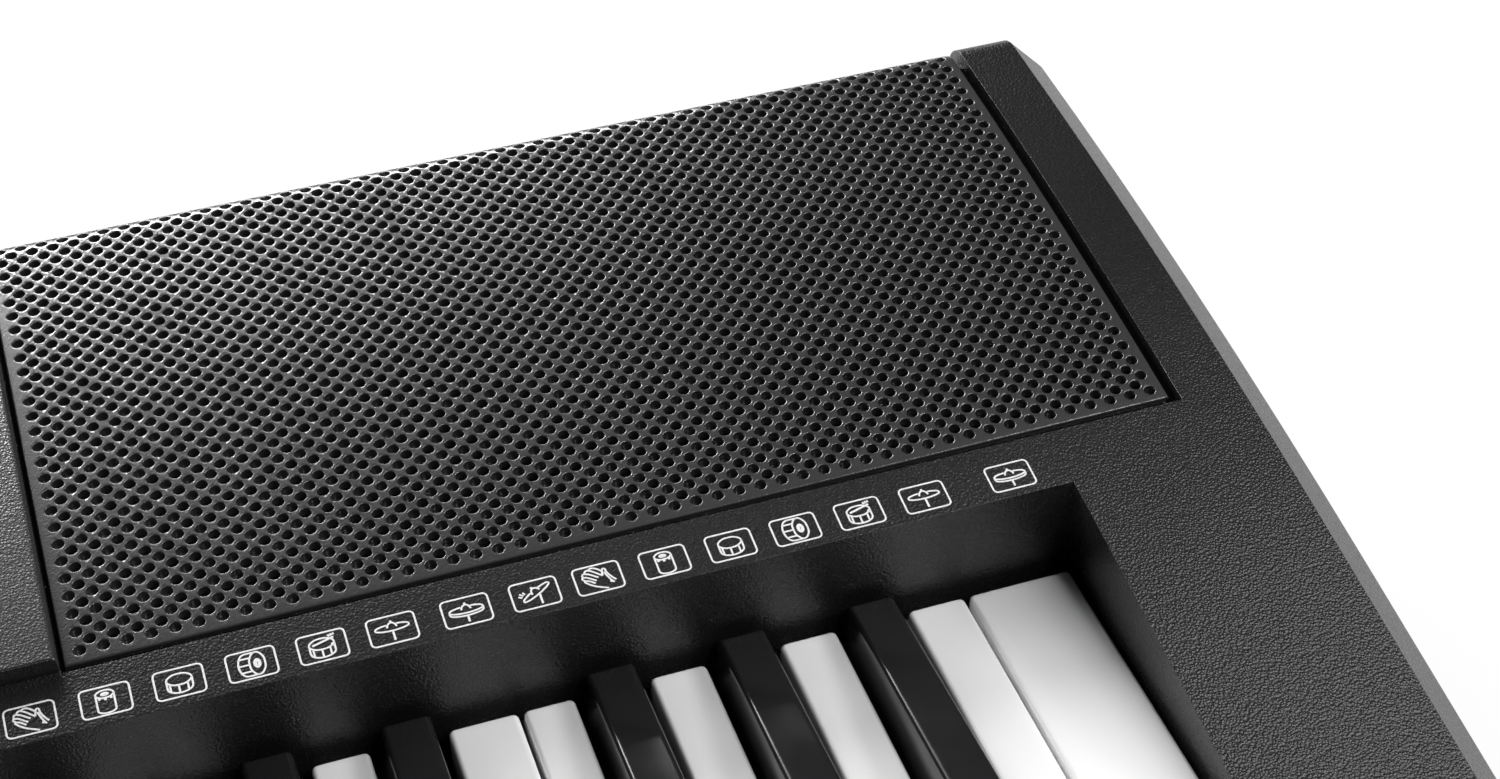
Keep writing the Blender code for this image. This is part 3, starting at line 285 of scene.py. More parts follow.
def moulded(name, dark, light, roughness, grainMm, bumpStrength, bumpMm, ior=1.53):
    # moulded ABS: grained where the mould was spark-eroded, with a broad soft sheen
    material, tree, shader, coordinates = startMaterial(name, {"IOR": ior})
    grain, bump = grainBump(tree, coordinates, grainMm, bumpStrength, bumpMm)
    tree.links.new(mottled(tree, coordinates, 40, dark, light), shader.inputs["Base Color"])
    tree.links.new(variedRoughness(tree, grain.outputs["Fac"], roughness - 0.04, roughness + 0.04), shader.inputs["Roughness"])
    tree.links.new(bump.outputs["Normal"], shader.inputs["Normal"])
    finishes[name] = material
    return material


def polished(name, dark, light, roughness, speckMm=0.0, ior=1.54, coat=0.0):
    # ABS from a polished mould: a clear reflection over a plain colour, with a faint ripple from cooling
    material, tree, shader, coordinates = startMaterial(name, {"IOR": ior, "Coat Weight": coat, "Coat Roughness": 0.05})
    ripple = addNode(tree, "ShaderNodeTexNoise", None, {"Vector": coordinates, "Scale": 1 / (9 * mm), "Detail": 1.0})
    bump = addNode(tree, "ShaderNodeBump", None, {"Strength": 0.25, "Distance": 0.02 * mm, "Height": ripple.outputs["Fac"]})
    tree.links.new(mottled(tree, coordinates, 60, dark, light), shader.inputs["Base Color"])
    tree.links.new(variedRoughness(tree, ripple.outputs["Fac"], roughness * 0.8, roughness * 1.2), shader.inputs["Roughness"])
    tree.links.new(bump.outputs["Normal"], shader.inputs["Normal"])
    finishes[name] = material
    return material


pebbled("caseGrainedAbs", "#141415", "#19191a", 0.30, 0.55, 0.09)
moulded("buttonSatinAbs", "#4a4a4d", "#525255", 0.42, 0.25, 0.20, 0.02)
moulded("chassisPlainAbs", "#6e6e6a", "#787874", 0.55, 0.60, 0.25, 0.03)
moulded("socketSatinAbs", "#1a1a1a", "#202020", 0.38, 0.30, 0.25, 0.02)
moulded("footSoftRubber", "#17181a", "#1f2022", 0.80, 0.50, 0.60, 0.05)      # matt, dusty-looking rubber
moulded("contactSoftRubber", "#5c5d60", "#66676a", 0.75, 0.60, 0.40, 0.04)
moulded("displayFrameAbs", "#26282a", "#2c2e30", 0.50, 0.30, 0.20, 0.02)
moulded("paintedShadeGapFoam", "#050505", "#0a0a0a", 0.95, 0.50, 1.00, 0.20, ior=1.1)   # painted shade: a near-black strip that barely reflects, darkening the grille gap the way deep shade would
polished("whiteKeyPolishedAbs", "#f4f4f4", "#f7f7f7", 0.16)
polished("blackKeyPolishedAbs", "#1c1c1d", "#202021", 0.19)
polished("knobCapPolishedAbs", "#2b2b2d", "#303032", 0.22)


def lacquered(name, dark, light, roughness, coatRoughness, pebbleMm, distanceMm):
    # satin lacquer over black paint: a broad sheen, and over it a clearer glint along each edge
    material, tree, shader, coordinates = startMaterial(name, {"IOR": 1.5, "Coat Weight": 1.0, "Coat Roughness": coatRoughness})
    cells, bump = pebbleBump(tree, coordinates, pebbleMm, distanceMm)
    tree.links.new(mottled(tree, coordinates, 50, dark, light), shader.inputs["Base Color"])
    tree.links.new(variedRoughness(tree, cells.outputs["Distance"], roughness - 0.03, roughness + 0.03), shader.inputs["Roughness"])
    tree.links.new(bump.outputs["Normal"], shader.inputs["Normal"])
    tree.links.new(bump.outputs["Normal"], shader.inputs["Coat Normal"])
    finishes[name] = material


lacquered("grilleSatinPaint", "#262627", "#2c2c2d", 0.38, 0.15, 0.52, 0.03)   # on punched sheet
lacquered("panelGrainedAbs", "#232325", "#29292b", 0.32, 0.14, 0.55, 0.07)    # on a grained moulding


def makeScreenInk():
    # white ink screened through a mesh: matt, a little thin over the grain
    material, tree, shader, coordinates = startMaterial("iconScreenInk", {"Roughness": 0.55})
    tree.links.new(mottled(tree, coordinates, 0.5, "#d2d2d2", "#ededed"), shader.inputs["Base Color"])
    finishes["iconScreenInk"] = material


def makeFelt():
    # pressed wool felt: short matted fibres with a soft edge light
    material, tree, shader, coordinates = startMaterial("stopPressedFelt", {"Roughness": 0.95, "Sheen Weight": 0.4})
    grain, bump = grainBump(tree, coordinates, 0.7, 0.9, 0.3, detail=6.0, warp=0.6)
    tree.links.new(mottled(tree, coordinates, 1.2, "#6d1d1c", "#8a2a27"), shader.inputs["Base Color"])
    tree.links.new(bump.outputs["Normal"], shader.inputs["Normal"])
    finishes["stopPressedFelt"] = material


def makeSteel():
    # nickel-plated spring steel: drawn lines along the strip
    material, tree, shader, coordinates = startMaterial("contactNickelSteel", {"Metallic": 1.0})
    stretch = addNode(tree, "ShaderNodeMapping", None, {"Vector": coordinates, "Scale": (1, 1, 14)})
    lines = addNode(tree, "ShaderNodeTexNoise", None, {"Vector": stretch.outputs["Vector"], "Scale": 1 / (1.2 * mm)})
    bump = addNode(tree, "ShaderNodeBump", None, {"Strength": 0.15, "Distance": 0.02 * mm, "Height": lines.outputs["Fac"]})
    tree.links.new(mottled(tree, coordinates, 8, "#b9b7b0", "#c9c7c1"), shader.inputs["Base Color"])
    tree.links.new(variedRoughness(tree, lines.outputs["Fac"], 0.22, 0.34), shader.inputs["Roughness"])
    tree.links.new(bump.outputs["Normal"], shader.inputs["Normal"])
    finishes["contactNickelSteel"] = material


def makeBoard():
    # glass-fibre board under green lacquer, with the weave just showing
    material, tree, shader, coordinates = startMaterial("boardGreenLacquer", {"IOR": 1.5, "Roughness": 0.35})
    weave = addNode(tree, "ShaderNodeTexChecker", None, {"Vector": coordinates, "Scale": 1 / (1.1 * mm),
                                                         "Color1": hexToLinear("#1e5a36"), "Color2": hexToLinear("#21613a")})
    bump = addNode(tree, "ShaderNodeBump", None, {"Strength": 0.1, "Distance": 0.02 * mm, "Height": weave.outputs["Fac"]})
    tree.links.new(weave.outputs["Color"], shader.inputs["Base Color"])
    tree.links.new(bump.outputs["Normal"], shader.inputs["Normal"])
    finishes["boardGreenLacquer"] = material


def makePaperCone():
    # pressed paper pulp with a black soak: fibrous and quite matt
    material, tree, shader, coordinates = startMaterial("speakerPaperCone", {})
    grain, bump = grainBump(tree, coordinates, 1.6, 0.8, 0.2, detail=5.0, warp=0.8)
    tree.links.new(mottled(tree, coordinates, 3, "#1d1d1e", "#2b2b2a"), shader.inputs["Base Color"])
    tree.links.new(variedRoughness(tree, grain.outputs["Fac"], 0.65, 0.85), shader.inputs["Roughness"])
    tree.links.new(bump.outputs["Normal"], shader.inputs["Normal"])
    finishes["speakerPaperCone"] = material


def makeDisplayGlass():
    # smoked acrylic: dark, clear and shiny, hazed a little by handling
    material, tree, shader, coordinates = startMaterial("windowSmokedAcrylic", {"IOR": 1.49, "Transmission Weight": 0.85})
    haze = addNode(tree, "ShaderNodeTexNoise", None, {"Vector": coordinates, "Scale": 1 / (25 * mm), "Detail": 4.0})
    tree.links.new(mottled(tree, coordinates, 40, "#8d9496", "#979ea0"), shader.inputs["Base Color"])
    tree.links.new(variedRoughness(tree, haze.outputs["Fac"], 0.03, 0.08), shader.inputs["Roughness"])
    finishes["windowSmokedAcrylic"] = material


def makeLiquidCrystal():
    # the reflective back of a liquid crystal display: pale grey-green with a fine pixel grid
    material, tree, shader, coordinates = startMaterial("displayLiquidCrystal", {"Roughness": 0.35})
    pixels = addNode(tree, "ShaderNodeTexChecker", None, {"Vector": coordinates, "Scale": 1 / (0.5 * mm),
                                                          "Color1": hexToLinear("#8f9c86"), "Color2": hexToLinear("#95a28c")})
    tree.links.new(pixels.outputs["Color"], shader.inputs["Base Color"])
    finishes["displayLiquidCrystal"] = material


makeScreenInk()
makeFelt()
makeSteel()
makeBoard()
makePaperCone()
makeDisplayGlass()
makeLiquidCrystal()
print("scene: materials made,", len(finishes))


# ---- the deck's cross-section, as in the CAD

deckForm = {
    "radius": 1325 * mm,
    "rearY": rearFace,
    "crownZ": 96.5 * mm,
    "rearSlope": math.radians(2.82),
    "roll": 8 * mm,
}
tangentY = deckForm["rearY"] - deckForm["roll"] * (1 + math.sin(deckForm["rearSlope"]))
arcCentreY = tangentY + deckForm["radius"] * math.sin(deckForm["rearSlope"])
arcCentreZ = deckForm["crownZ"] - deckForm["radius"] * math.cos(deckForm["rearSlope"])
rollCentreY = deckForm["rearY"] - deckForm["roll"]
rollCentreZ = deckForm["crownZ"] - deckForm["roll"] * math.cos(deckForm["rearSlope"])


def deckHeight(y, offset=0.0):
    radius = deckForm["radius"] - offset
    return arcCentreZ + math.sqrt(radius ** 2 - (arcCentreY - y) ** 2)


def deckTilt(y):
    return math.asin((arcCentreY - y) / deckForm["radius"])


def deckPlane(x, y, lift=0.0):
    # a frame on the deck, with its Z standing square to the surface
    turn = Matrix.Rotation(deckTilt(y), 4, "X")
    return Matrix.Translation((x, y, deckHeight(y))) @ turn @ Matrix.Translation((0, 0, lift))


# ---- case

caseForm = {
    "edgeRound": 0.45 * mm,    # soft edges left by the mould
    "ledgeRound": 0.85 * mm,   # the deck's front edge over the keys
    "trayRound": 0.5 * mm,
    "screwRing": (5.0 * mm, 3.4 * mm, 1.0 * mm),
    "screwX": (-393 * mm, -196.5 * mm, 0, 196.5 * mm, 393 * mm),
    "screwY": (frontFace + 22 * mm, 47.25 * mm),
    "bottom": 4 * mm,
}


def evenNormals(piece):
    modifier = piece.modifiers.new("even_normals", "WEIGHTED_NORMAL")
    modifier.keep_sharp = True


def makeUpperShell():
    shape = solidCopy("upper_case")

    def isLedge(edge):
        return all(abs(face.normal.x) < 0.01 for face in edge.link_faces) and all(
            vert.co.z > 80 * mm and vert.co.y < 10 * mm for vert in edge.verts)

    def isVisible(edge):
        return min(vert.co.z for vert in edge.verts) > 50.3 * mm and any(face.normal.z > 0.2 for face in edge.link_faces)
    roundEdges(shape, sharpEdges(shape, 32, isLedge), caseForm["ledgeRound"], 4)
    bmesh.ops.bevel(shape, geom=sharpEdges(shape, 32, isVisible), offset=caseForm["edgeRound"], offset_type="OFFSET",
                    segments=3, profile=0.5, affect="EDGES", clamp_overlap=True, material=-1, miter_outer="ARC")
    shell = newPiece("case_top_shell", shape, finishes["caseGrainedAbs"], "case", ["upper_case"])
    evenNormals(shell)
    return shell


def makeLowerTray():
    shape = solidCopy("lower_case")

    def isOutside(edge):
        low = min(vert.co.z for vert in edge.verts)
        outward = all(abs(vert.co.x) > endFace - 10 * mm or abs(vert.co.y) > rearFace - 9 * mm for vert in edge.verts)
        return outward and low < 29 * mm
    bmesh.ops.bevel(shape, geom=sharpEdges(shape, 32, isOutside), offset=caseForm["trayRound"], offset_type="OFFSET",
                    segments=2, profile=0.5, affect="EDGES", clamp_overlap=True, material=-1, miter_outer="ARC")
    tray = newPiece("case_bottom_tray", shape, finishes["caseGrainedAbs"], "case", ["lower_case"])
    evenNormals(tray)


def makeScrews():
    # a raised ring on the tray round each case screw, and the screw's crossed pan head inside it
    outer, inner, rise = caseForm["screwRing"]
    rings = []
    heads = []
    for x in caseForm["screwX"]:
        for y in caseForm["screwY"]:
            spot = Matrix.Translation((x, y, caseForm["bottom"]))
            ring = spun([(inner, 0.3 * mm), (outer, 0.3 * mm), (outer, -rise + 0.3 * mm), (outer - 0.3 * mm, -rise),
                         (inner + 0.2 * mm, -rise), (inner, -rise + 0.2 * mm), (inner, 0.3 * mm)], 28)
            rings.append(place(ring, spot))
            head = spun([(0, 0.2 * mm), (2.9 * mm, 0.2 * mm), (2.9 * mm, -0.1 * mm), (2.5 * mm, -0.6 * mm), (1.2 * mm, -0.8 * mm),
                         (0, -0.8 * mm)], 24)
            cross = bmesh.new()
            for turn in (0, math.pi / 2):
                bar = block((-1.5 * mm, -0.22 * mm, -0.88 * mm), (1.5 * mm, 0.22 * mm, -0.7 * mm), 0.06 * mm)
                cross = merged(cross, place(bar, Matrix.Rotation(turn + 0.5, 4, "Z")))
            heads.append(place(merged(head, cross), spot))
    newPiece("case_screw_rings", merged(*rings), finishes["caseGrainedAbs"], "case")
    newPiece("case_screw_heads", merged(*heads), finishes["contactNickelSteel"], "case")


footForm = {
    "radius": 10 * mm,
    "height": 5.2 * mm,
    "names": ("left_front_foot", "right_front_foot", "left_rear_foot", "right_rear_foot"),
}


def makeFeet():
    # turned rubber feet with a dished sole and a soft outer rim
    radius = footForm["radius"]
    top = footForm["height"]
    profile = [(0, 1.2 * mm), (5.6 * mm, 1.2 * mm), (6.1 * mm, 1.0 * mm), (6.5 * mm, 0.3 * mm), (6.9 * mm, 0.05 * mm),
               (7.3 * mm, 0), (8.7 * mm, 0), (9.3 * mm, 0.15 * mm), (9.8 * mm, 0.55 * mm), (radius, 1.2 * mm),
               (radius, top), (0, top)]
    for name in footForm["names"]:
        low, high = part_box(name)
        centre = (low + high) / 2
        foot = place(spun(profile, 48), Matrix.Translation((centre.x, centre.y, 0)))
        newPiece(name + "_rubber", foot, finishes["footSoftRubber"], "case", [name])


doorForm = {
    "edgeRound": 0.35 * mm,
    "thumb": (110 * mm, 116.95 * mm),
    "ridges": 5,
    "ridgeStep": 1.9 * mm,
}


def makeBatteryDoor():
    shape = solidCopy("battery_door")
    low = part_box("battery_door")[0].z

    def isRim(edge):
        return max(vert.co.z for vert in edge.verts) < low + 0.1 * mm
    roundEdges(shape, sharpEdges(shape, 32, isRim), doorForm["edgeRound"])
    ridges = []
    x, y = doorForm["thumb"]
    for index in range(doorForm["ridges"]):
        middle = y + (index - (doorForm["ridges"] - 1) / 2) * doorForm["ridgeStep"]
        half = math.sqrt((8.2 * mm) ** 2 - (middle - y) ** 2)
        ridges.append(block((x - half, middle - 0.4 * mm, low + 0.1 * mm), (x + half, middle + 0.4 * mm, low + 1.1 * mm), 0.25 * mm))
    newPiece("battery_door_panel", merged(shape, *ridges), finishes["caseGrainedAbs"], "battery_door", ["battery_door"])


makeUpperShell()
makeLowerTray()
makeScrews()
makeFeet()
makeBatteryDoor()
print("scene: case done")


# ---- speaker grilles: a lattice of dished holes, pressed into sheet and bent over the back of the case

grilleForm = {
    "halfCell": 2.266 * mm,    # half the diagonal of the diamond round one hole
    "centreX": 342.8 * mm,
    "firstColumn": -51,
    "columns": 50,             # in the odd rows; the even rows have one less
    "halves": {"front": (21, 13), "rear": (-5, 14)},   # each half's first row and its pairs of rows
    "edgeX": (224.0 * mm, 452.4 * mm),
    "frontY": 20.85 * mm,
    "tailZ": 82.5 * mm,
    "sink": 0.8 * mm,
    "thickness": 2.0 * mm,
    "rings": ((1.42 * mm, 0), (1.30 * mm, -0.045 * mm), (1.22 * mm, -0.17 * mm), (1.21 * mm, -2.0 * mm)),
    "sides": 12,
    "rim": ((0.26 * mm, 0.06 * mm), (0.17 * mm, 0.17 * mm), (0.07 * mm, 0.28 * mm)),   # rounding steps of the plate's own edge
    "paintedShadeDrop": (2.5 * mm, 3.1 * mm),   # top and bottom of the painted-shade strip, below the deck
    "paintedShadeRuns": ((223.27 * mm, 223.93 * mm, 20.4 * mm, 129 * mm), (452.5 * mm, 454.15 * mm, 19.1 * mm, 138 * mm),
                 (223.3 * mm, 454.1 * mm, 19.1 * mm, 20.7 * mm)),
}
grilleRadius = deckForm["radius"] - grilleForm["sink"]
grilleRoll = deckForm["roll"] - grilleForm["sink"]
latticeStartY = 71.15 * mm
arcLength = grilleRadius * (deckTilt(latticeStartY) - deckForm["rearSlope"])
rollLength = grilleRoll * (math.pi / 2 + deckForm["rearSlope"])
frontLine = -grilleRadius * (deckTilt(grilleForm["frontY"]) - deckTilt(latticeStartY))
tailLine = arcLength + rollLength + rollCentreZ - grilleForm["tailZ"]


def bentPoint(along, height):
    # where a point of the flat sheet lies once the sheet is bent over the deck
    if along <= arcLength:
        tilt = deckTilt(latticeStartY) - along / grilleRadius
        reach = grilleRadius + height
        return arcCentreY - reach * math.sin(tilt), arcCentreZ + reach * math.cos(tilt)
    if along <= arcLength + rollLength:
        turn = (along - arcLength) / grilleRoll - deckForm["rearSlope"]
        reach = grilleRoll + height
        return rollCentreY + reach * math.sin(turn), rollCentreZ + reach * math.cos(turn)
    return rollCentreY + grilleRoll + height, rollCentreZ - (along - arcLength - rollLength)


def newItems(made, kind):
    return [item for item in made["geom"] if isinstance(item, kind)]


def makeCell(shape, x, y):
    # one diamond of sheet with its dished hole
    at = Matrix.Translation((x, y, 0))
    rings = grilleForm["rings"]
    circle = bmesh.ops.create_circle(shape, cap_ends=False, radius=rings[0][0], segments=grilleForm["sides"], matrix=at)
    top = list({edge for vert in circle["verts"] for edge in vert.link_edges})
    loop = top
    for (outer, high), (inner, low) in zip(rings, rings[1:]):
        made = bmesh.ops.extrude_edge_only(shape, edges=loop)
        verts = newItems(made, bmesh.types.BMVert)
        loop = [edge for edge in newItems(made, bmesh.types.BMEdge) if all(vert in verts for vert in edge.verts)]
        bmesh.ops.scale(shape, vec=(inner / outer, inner / outer, 1), verts=verts, space=at.inverted())
        bmesh.ops.translate(shape, vec=(0, 0, low - high), verts=verts)
    for inside, height in ((top, 0), (loop, -grilleForm["thickness"])):
        known = set(shape.edges)
        diamond = bmesh.ops.create_circle(shape, cap_ends=False, radius=grilleForm["halfCell"], segments=4,
                                          matrix=Matrix.Translation((x, y, height)))
        sides = list({edge for vert in diamond["verts"] for edge in vert.link_edges})
        bmesh.ops.subdivide_edges(shape, edges=sides, cuts=grilleForm["sides"] // 4 - 1)
        outside = [edge for edge in shape.edges if edge not in known]
        bmesh.ops.bridge_loops(shape, edges=outside + inside)


def sizeOf(shape):
    return len(shape.verts), len(shape.edges), len(shape.faces)


def repeatFirst(shape, counts, shift):
    # copies the first items of the mesh and moves the copy
    for items in (shape.verts, shape.edges, shape.faces):
        items.ensure_lookup_table()
    verts, edges, faces = counts
    made = bmesh.ops.duplicate(shape, geom=shape.verts[:verts] + shape.edges[:edges] + shape.faces[:faces])
    bmesh.ops.translate(shape, vec=shift, verts=newItems(made, bmesh.types.BMVert))


def makeLattice(firstRow, rowPairs):
    step = grilleForm["halfCell"]
    shape = bmesh.new()
    makeCell(shape, grilleForm["firstColumn"] * step, -firstRow * step)
    odd = sizeOf(shape)
    makeCell(shape, (grilleForm["firstColumn"] + 1) * step, (1 - firstRow) * step)
    pair = sizeOf(shape)
    for column in range(1, grilleForm["columns"]):
        source = pair if column < grilleForm["columns"] - 1 else odd
        repeatFirst(shape, source, (2 * step * column, 0, 0))
    row = sizeOf(shape)
    for pairIndex in range(1, rowPairs):
        repeatFirst(shape, row, (0, 2 * step * pairIndex, 0))
    bmesh.ops.remove_doubles(shape, verts=shape.verts, dist=0.005 * mm)
    return shape


def pullOpenEdges(shape, isSide, axis, target):
    # extrudes the open edges along one side and draws them out to a straight line
    edges = [edge for edge in shape.edges if edge.is_boundary and isSide(edge)]
    made = bmesh.ops.extrude_edge_only(shape, edges=edges)
    for vert in newItems(made, bmesh.types.BMVert):
        vert.co[axis] = target


def makeGrilleHalf(name, firstRow, rowPairs):
    step = grilleForm["halfCell"]
    shape = makeLattice(firstRow, rowPairs)
    rimWidth = sum(out for out, down in grilleForm["rim"])
    lowX = grilleForm["edgeX"][0] - grilleForm["centreX"] + rimWidth
    highX = grilleForm["edgeX"][1] - grilleForm["centreX"] - rimWidth
    firstLine = -firstRow * step
    lastLine = firstLine + (2 * rowPairs - 1) * step
    slack = 0.05 * mm
    if name == "front":
        ends = (frontLine + rimWidth, 1)
        pullOpenEdges(shape, lambda edge: all(vert.co.y < firstLine + slack for vert in edge.verts), 1, ends[0])
    else:
        ends = (-1, tailLine - rimWidth)
        rollEnd = arcLength + rollLength
        reached = lastLine
        for target in (rollEnd - 3.9 * mm, rollEnd - 2.6 * mm, rollEnd - 1.3 * mm, rollEnd, ends[1]):
            pullOpenEdges(shape, lambda edge: all(vert.co.y > reached - slack for vert in edge.verts), 1, target)
            reached = target

    def onEndLine(edge):
        return any(all(abs(vert.co.y - line) < slack for vert in edge.verts) for line in ends)
    leftLimit = (grilleForm["firstColumn"]) * step + slack
    rightLimit = (grilleForm["firstColumn"] + 2 * grilleForm["columns"] - 2) * step - slack
    pullOpenEdges(shape, lambda edge: not onEndLine(edge) and all(vert.co.x < leftLimit for vert in edge.verts), 0, lowX)
    pullOpenEdges(shape, lambda edge: not onEndLine(edge) and all(vert.co.x > rightLimit for vert in edge.verts), 0, highX)
    bmesh.ops.remove_doubles(shape, verts=shape.verts, dist=0.005 * mm)

    loop = [edge for edge in shape.edges if edge.is_boundary and all(vert.co.z > -slack for vert in edge.verts)]
    level = 0
    across = 0
    for out, down in (*grilleForm["rim"], (0, None)):
        made = bmesh.ops.extrude_edge_only(shape, edges=loop)
        verts = newItems(made, bmesh.types.BMVert)
        level = -grilleForm["thickness"] if down is None else level - down
        for vert in verts:
            if down is None:
                out = -across
            vert.co.z = level
            if vert.co.x < lowX - across + slack / 5:
                vert.co.x -= out
            elif vert.co.x > highX + across - slack / 5:
                vert.co.x += out
            if vert.co.y < ends[0] - across + slack / 5:
                vert.co.y -= out
            elif vert.co.y > ends[1] + across - slack / 5:
                vert.co.y += out
        loop = [edge for edge in newItems(made, bmesh.types.BMEdge) if all(vert in verts for vert in edge.verts)]
        across += out
    bmesh.ops.remove_doubles(shape, verts=shape.verts, dist=0.005 * mm)
    for vert in shape.verts:
        y, z = bentPoint(vert.co.y, vert.co.z)
        vert.co = (vert.co.x + grilleForm["centreX"], y, z)
    return shape


def makeGrilles():
    for name, (firstRow, rowPairs) in grilleForm["halves"].items():
        shape = makeGrilleHalf(name, firstRow, rowPairs)
        tidyNormals(shape)
        twin = shape.copy()
        evenNormals(newPiece("right_grille_" + name, shape, finishes["grilleSatinPaint"], "case", ["right_grille"], 50))
        bmesh.ops.scale(twin, vec=(-1, 1, 1), verts=twin.verts)
        tidyNormals(twin)
        evenNormals(newPiece("left_grille_" + name, twin, finishes["grilleSatinPaint"], "case", ["left_grille"], 50))


def makeGapPaintedShade():
    # near-black strips in the gap round each plate: painted shade, which makes the shallow gap look as dark as a deep,
    # shaded one
    top, bottom = grilleForm["paintedShadeDrop"]
    runs = []
    for side in (1, -1):
        for lowX, highX, lowY, highY in grilleForm["paintedShadeRuns"]:
            run = block((lowX, lowY, -bottom), (highX, highY, -top))
            lengthwise = [edge for edge in run.edges if abs(edge.verts[0].co.y - edge.verts[1].co.y) > mm]
            bmesh.ops.subdivide_edges(run, edges=lengthwise, cuts=24, use_grid_fill=True)
            for vert in run.verts:
                vert.co.z += deckHeight(vert.co.y)
            if side < 0:
                bmesh.ops.scale(run, vec=(-1, 1, 1), verts=run.verts)
                bmesh.ops.recalc_face_normals(run, faces=run.faces)
            runs.append(run)
    # the strips' near-black colour is painted shade for the gap
    newPiece("grille_gap_painted_shade", merged(*runs), finishes["paintedShadeGapFoam"], "case")


makeGrilles()
makeGapPaintedShade()
print("scene: grilles done")


# ---- speakers behind the grilles

speakerForm = {
    "x": 338.2 * mm,
    "y": 81.15 * mm,
    "drop": 9.3 * mm,          # mounting flange below the deck
    "cone": [(0, -6.2), (4, -6.4), (8, -7.3), (11.5, -9.2), (13.2, -13.2), (14.5, -13.0), (25, -8.4), (36.5, -2.9),
             (38.0, -1.6), (39.3, -0.7), (40.8, -0.4), (42.3, -0.7), (43.4, -1.6), (44.2, -2.4), (46, -2.4)],
    "basket": [(46.2, 0), (51.5, 0), (52, -0.5), (52, -2.3), (51.5, -2.5), (46.5, -4.8), (38, -15), (23.8, -23.6),
               (23.8, -39.2), (23.2, -39.8), (0, -39.8)],
}


def makeSpeakers():
    for side, name in ((1, "right_speaker"), (-1, "left_speaker")):
        stand = deckPlane(side * speakerForm["x"], speakerForm["y"], -speakerForm["drop"])
        upper = [(radius * mm, height * mm) for radius, height in speakerForm["cone"]]
        lower = [(radius, height - 0.8 * mm) for radius, height in reversed(upper)]
        cone = place(spun(upper + lower, 72), stand)
        newPiece(name + "_cone", cone, finishes["speakerPaperCone"], "case", [name])
        outline = [(radius * mm, height * mm) for radius, height in speakerForm["basket"]]
        inside = [(0, -38 * mm), (22.0 * mm, -38 * mm), (22.0 * mm, -24 * mm), (37 * mm, -16.2 * mm), (45.2 * mm, -5.2 * mm),
                  (46.2 * mm, 0)]
        basket = place(spun(outline + inside, 72), stand)
        newPiece(name + "_basket", basket, finishes["grilleSatinPaint"], "case", [name])


makeSpeakers()
print("scene: speakers done")


# ---- keys

keyFront = frontFace + 9.1 * mm
keyForm = {
    "pitch": 23.5 * mm,
    "gap": 1.0 * mm,
    "startX": -423.0 * mm,
    "frontY": keyFront,
    "notchY": keyFront + 48 * mm,
    "rearY": keyFront + 140.7 * mm,
    "top": 62 * mm,
    "skirt": 46 * mm,
    "wall": 1.8 * mm,
    "roof": 2.5 * mm,
    "cornerRound": 1.3 * mm,
    "topRound": 1.1 * mm,
    "hingeY": keyFront + 182 * mm,
    "railDepth": 8 * mm,
    "railThick": 2.5 * mm,
    "railBottoms": (47.0 * mm, 50.1 * mm, 53.2 * mm),
    "neckThick": 1.2 * mm,
    "armWidth": 8 * mm,
    "armRise": 6 * mm,
    "whiteArmZ": 47.7 * mm,
    "blackArmZ": 49.5 * mm,
}
sharpForm = {
    "baseWidth": 14.0 * mm,
    "topWidth": 9.6 * mm,
    "frontY": keyFront + 49 * mm,
    "rearY": keyFront + 141.7 * mm,
    "slant": 4.5 * mm,
    "rearTop": 66.7 * mm,
    "frontTop": 72.9 * mm,
    "edgeRound": 1.35 * mm,
    "sideGap": 0.75 * mm,
    "shift": {1: -2.3 * mm, 2: 1.2 * mm, 4: -4.8 * mm, 5: -1.1 * mm, 6: 2.9 * mm},
}
whiteNotes = "cdefgab"
sharpNotes = {1: "c_sharp", 2: "d_sharp", 4: "f_sharp", 5: "g_sharp", 6: "a_sharp"}
combNotes = {"keys_c_e_g_b": (0, 2, 4, 6), "keys_d_f_a": (1, 3, 5)}
octaveLength = 7 * keyForm["pitch"]


def slab(outline, low, high):
    # a flat outline in Y and Z, drawn out along X
    shape = bmesh.new()
    face = shape.faces.new([shape.verts.new((low, y, z)) for y, z in outline])
    made = bmesh.ops.extrude_face_region(shape, geom=[face])
    bmesh.ops.translate(shape, vec=(high - low, 0, 0), verts=newItems(made, bmesh.types.BMVert))
    bmesh.ops.recalc_face_normals(shape, faces=shape.faces)
    return shape


def tailEdges(index, plain):
    reach = sharpForm["baseWidth"] / 2 + sharpForm["sideGap"]
    left = index * keyForm["pitch"] + keyForm["gap"] / 2
    right = (index + 1) * keyForm["pitch"] - keyForm["gap"] / 2
    if not plain and index in sharpForm["shift"]:
        left = sharpCentre(index) + reach
    if not plain and index + 1 in sharpForm["shift"]:
        right = sharpCentre(index + 1) - reach
    return left, right


def sharpCentre(boundary):
    return boundary * keyForm["pitch"] + sharpForm["shift"][boundary]


def hollowUnder(shape, depth):
    under = [face for face in shape.faces if face.normal.z < -0.99 and face.calc_center_median().z < keyForm["skirt"] + 0.01 * mm]
    bmesh.ops.inset_region(shape, faces=under, thickness=keyForm["wall"], depth=0, use_even_offset=True, use_boundary=True)
    made = bmesh.ops.extrude_face_region(shape, geom=under)
    bmesh.ops.delete(shape, geom=under, context="FACES_ONLY")
    bmesh.ops.translate(shape, vec=(0, 0, depth), verts=newItems(made, bmesh.types.BMVert))
    bmesh.ops.recalc_face_normals(shape, faces=shape.faces)


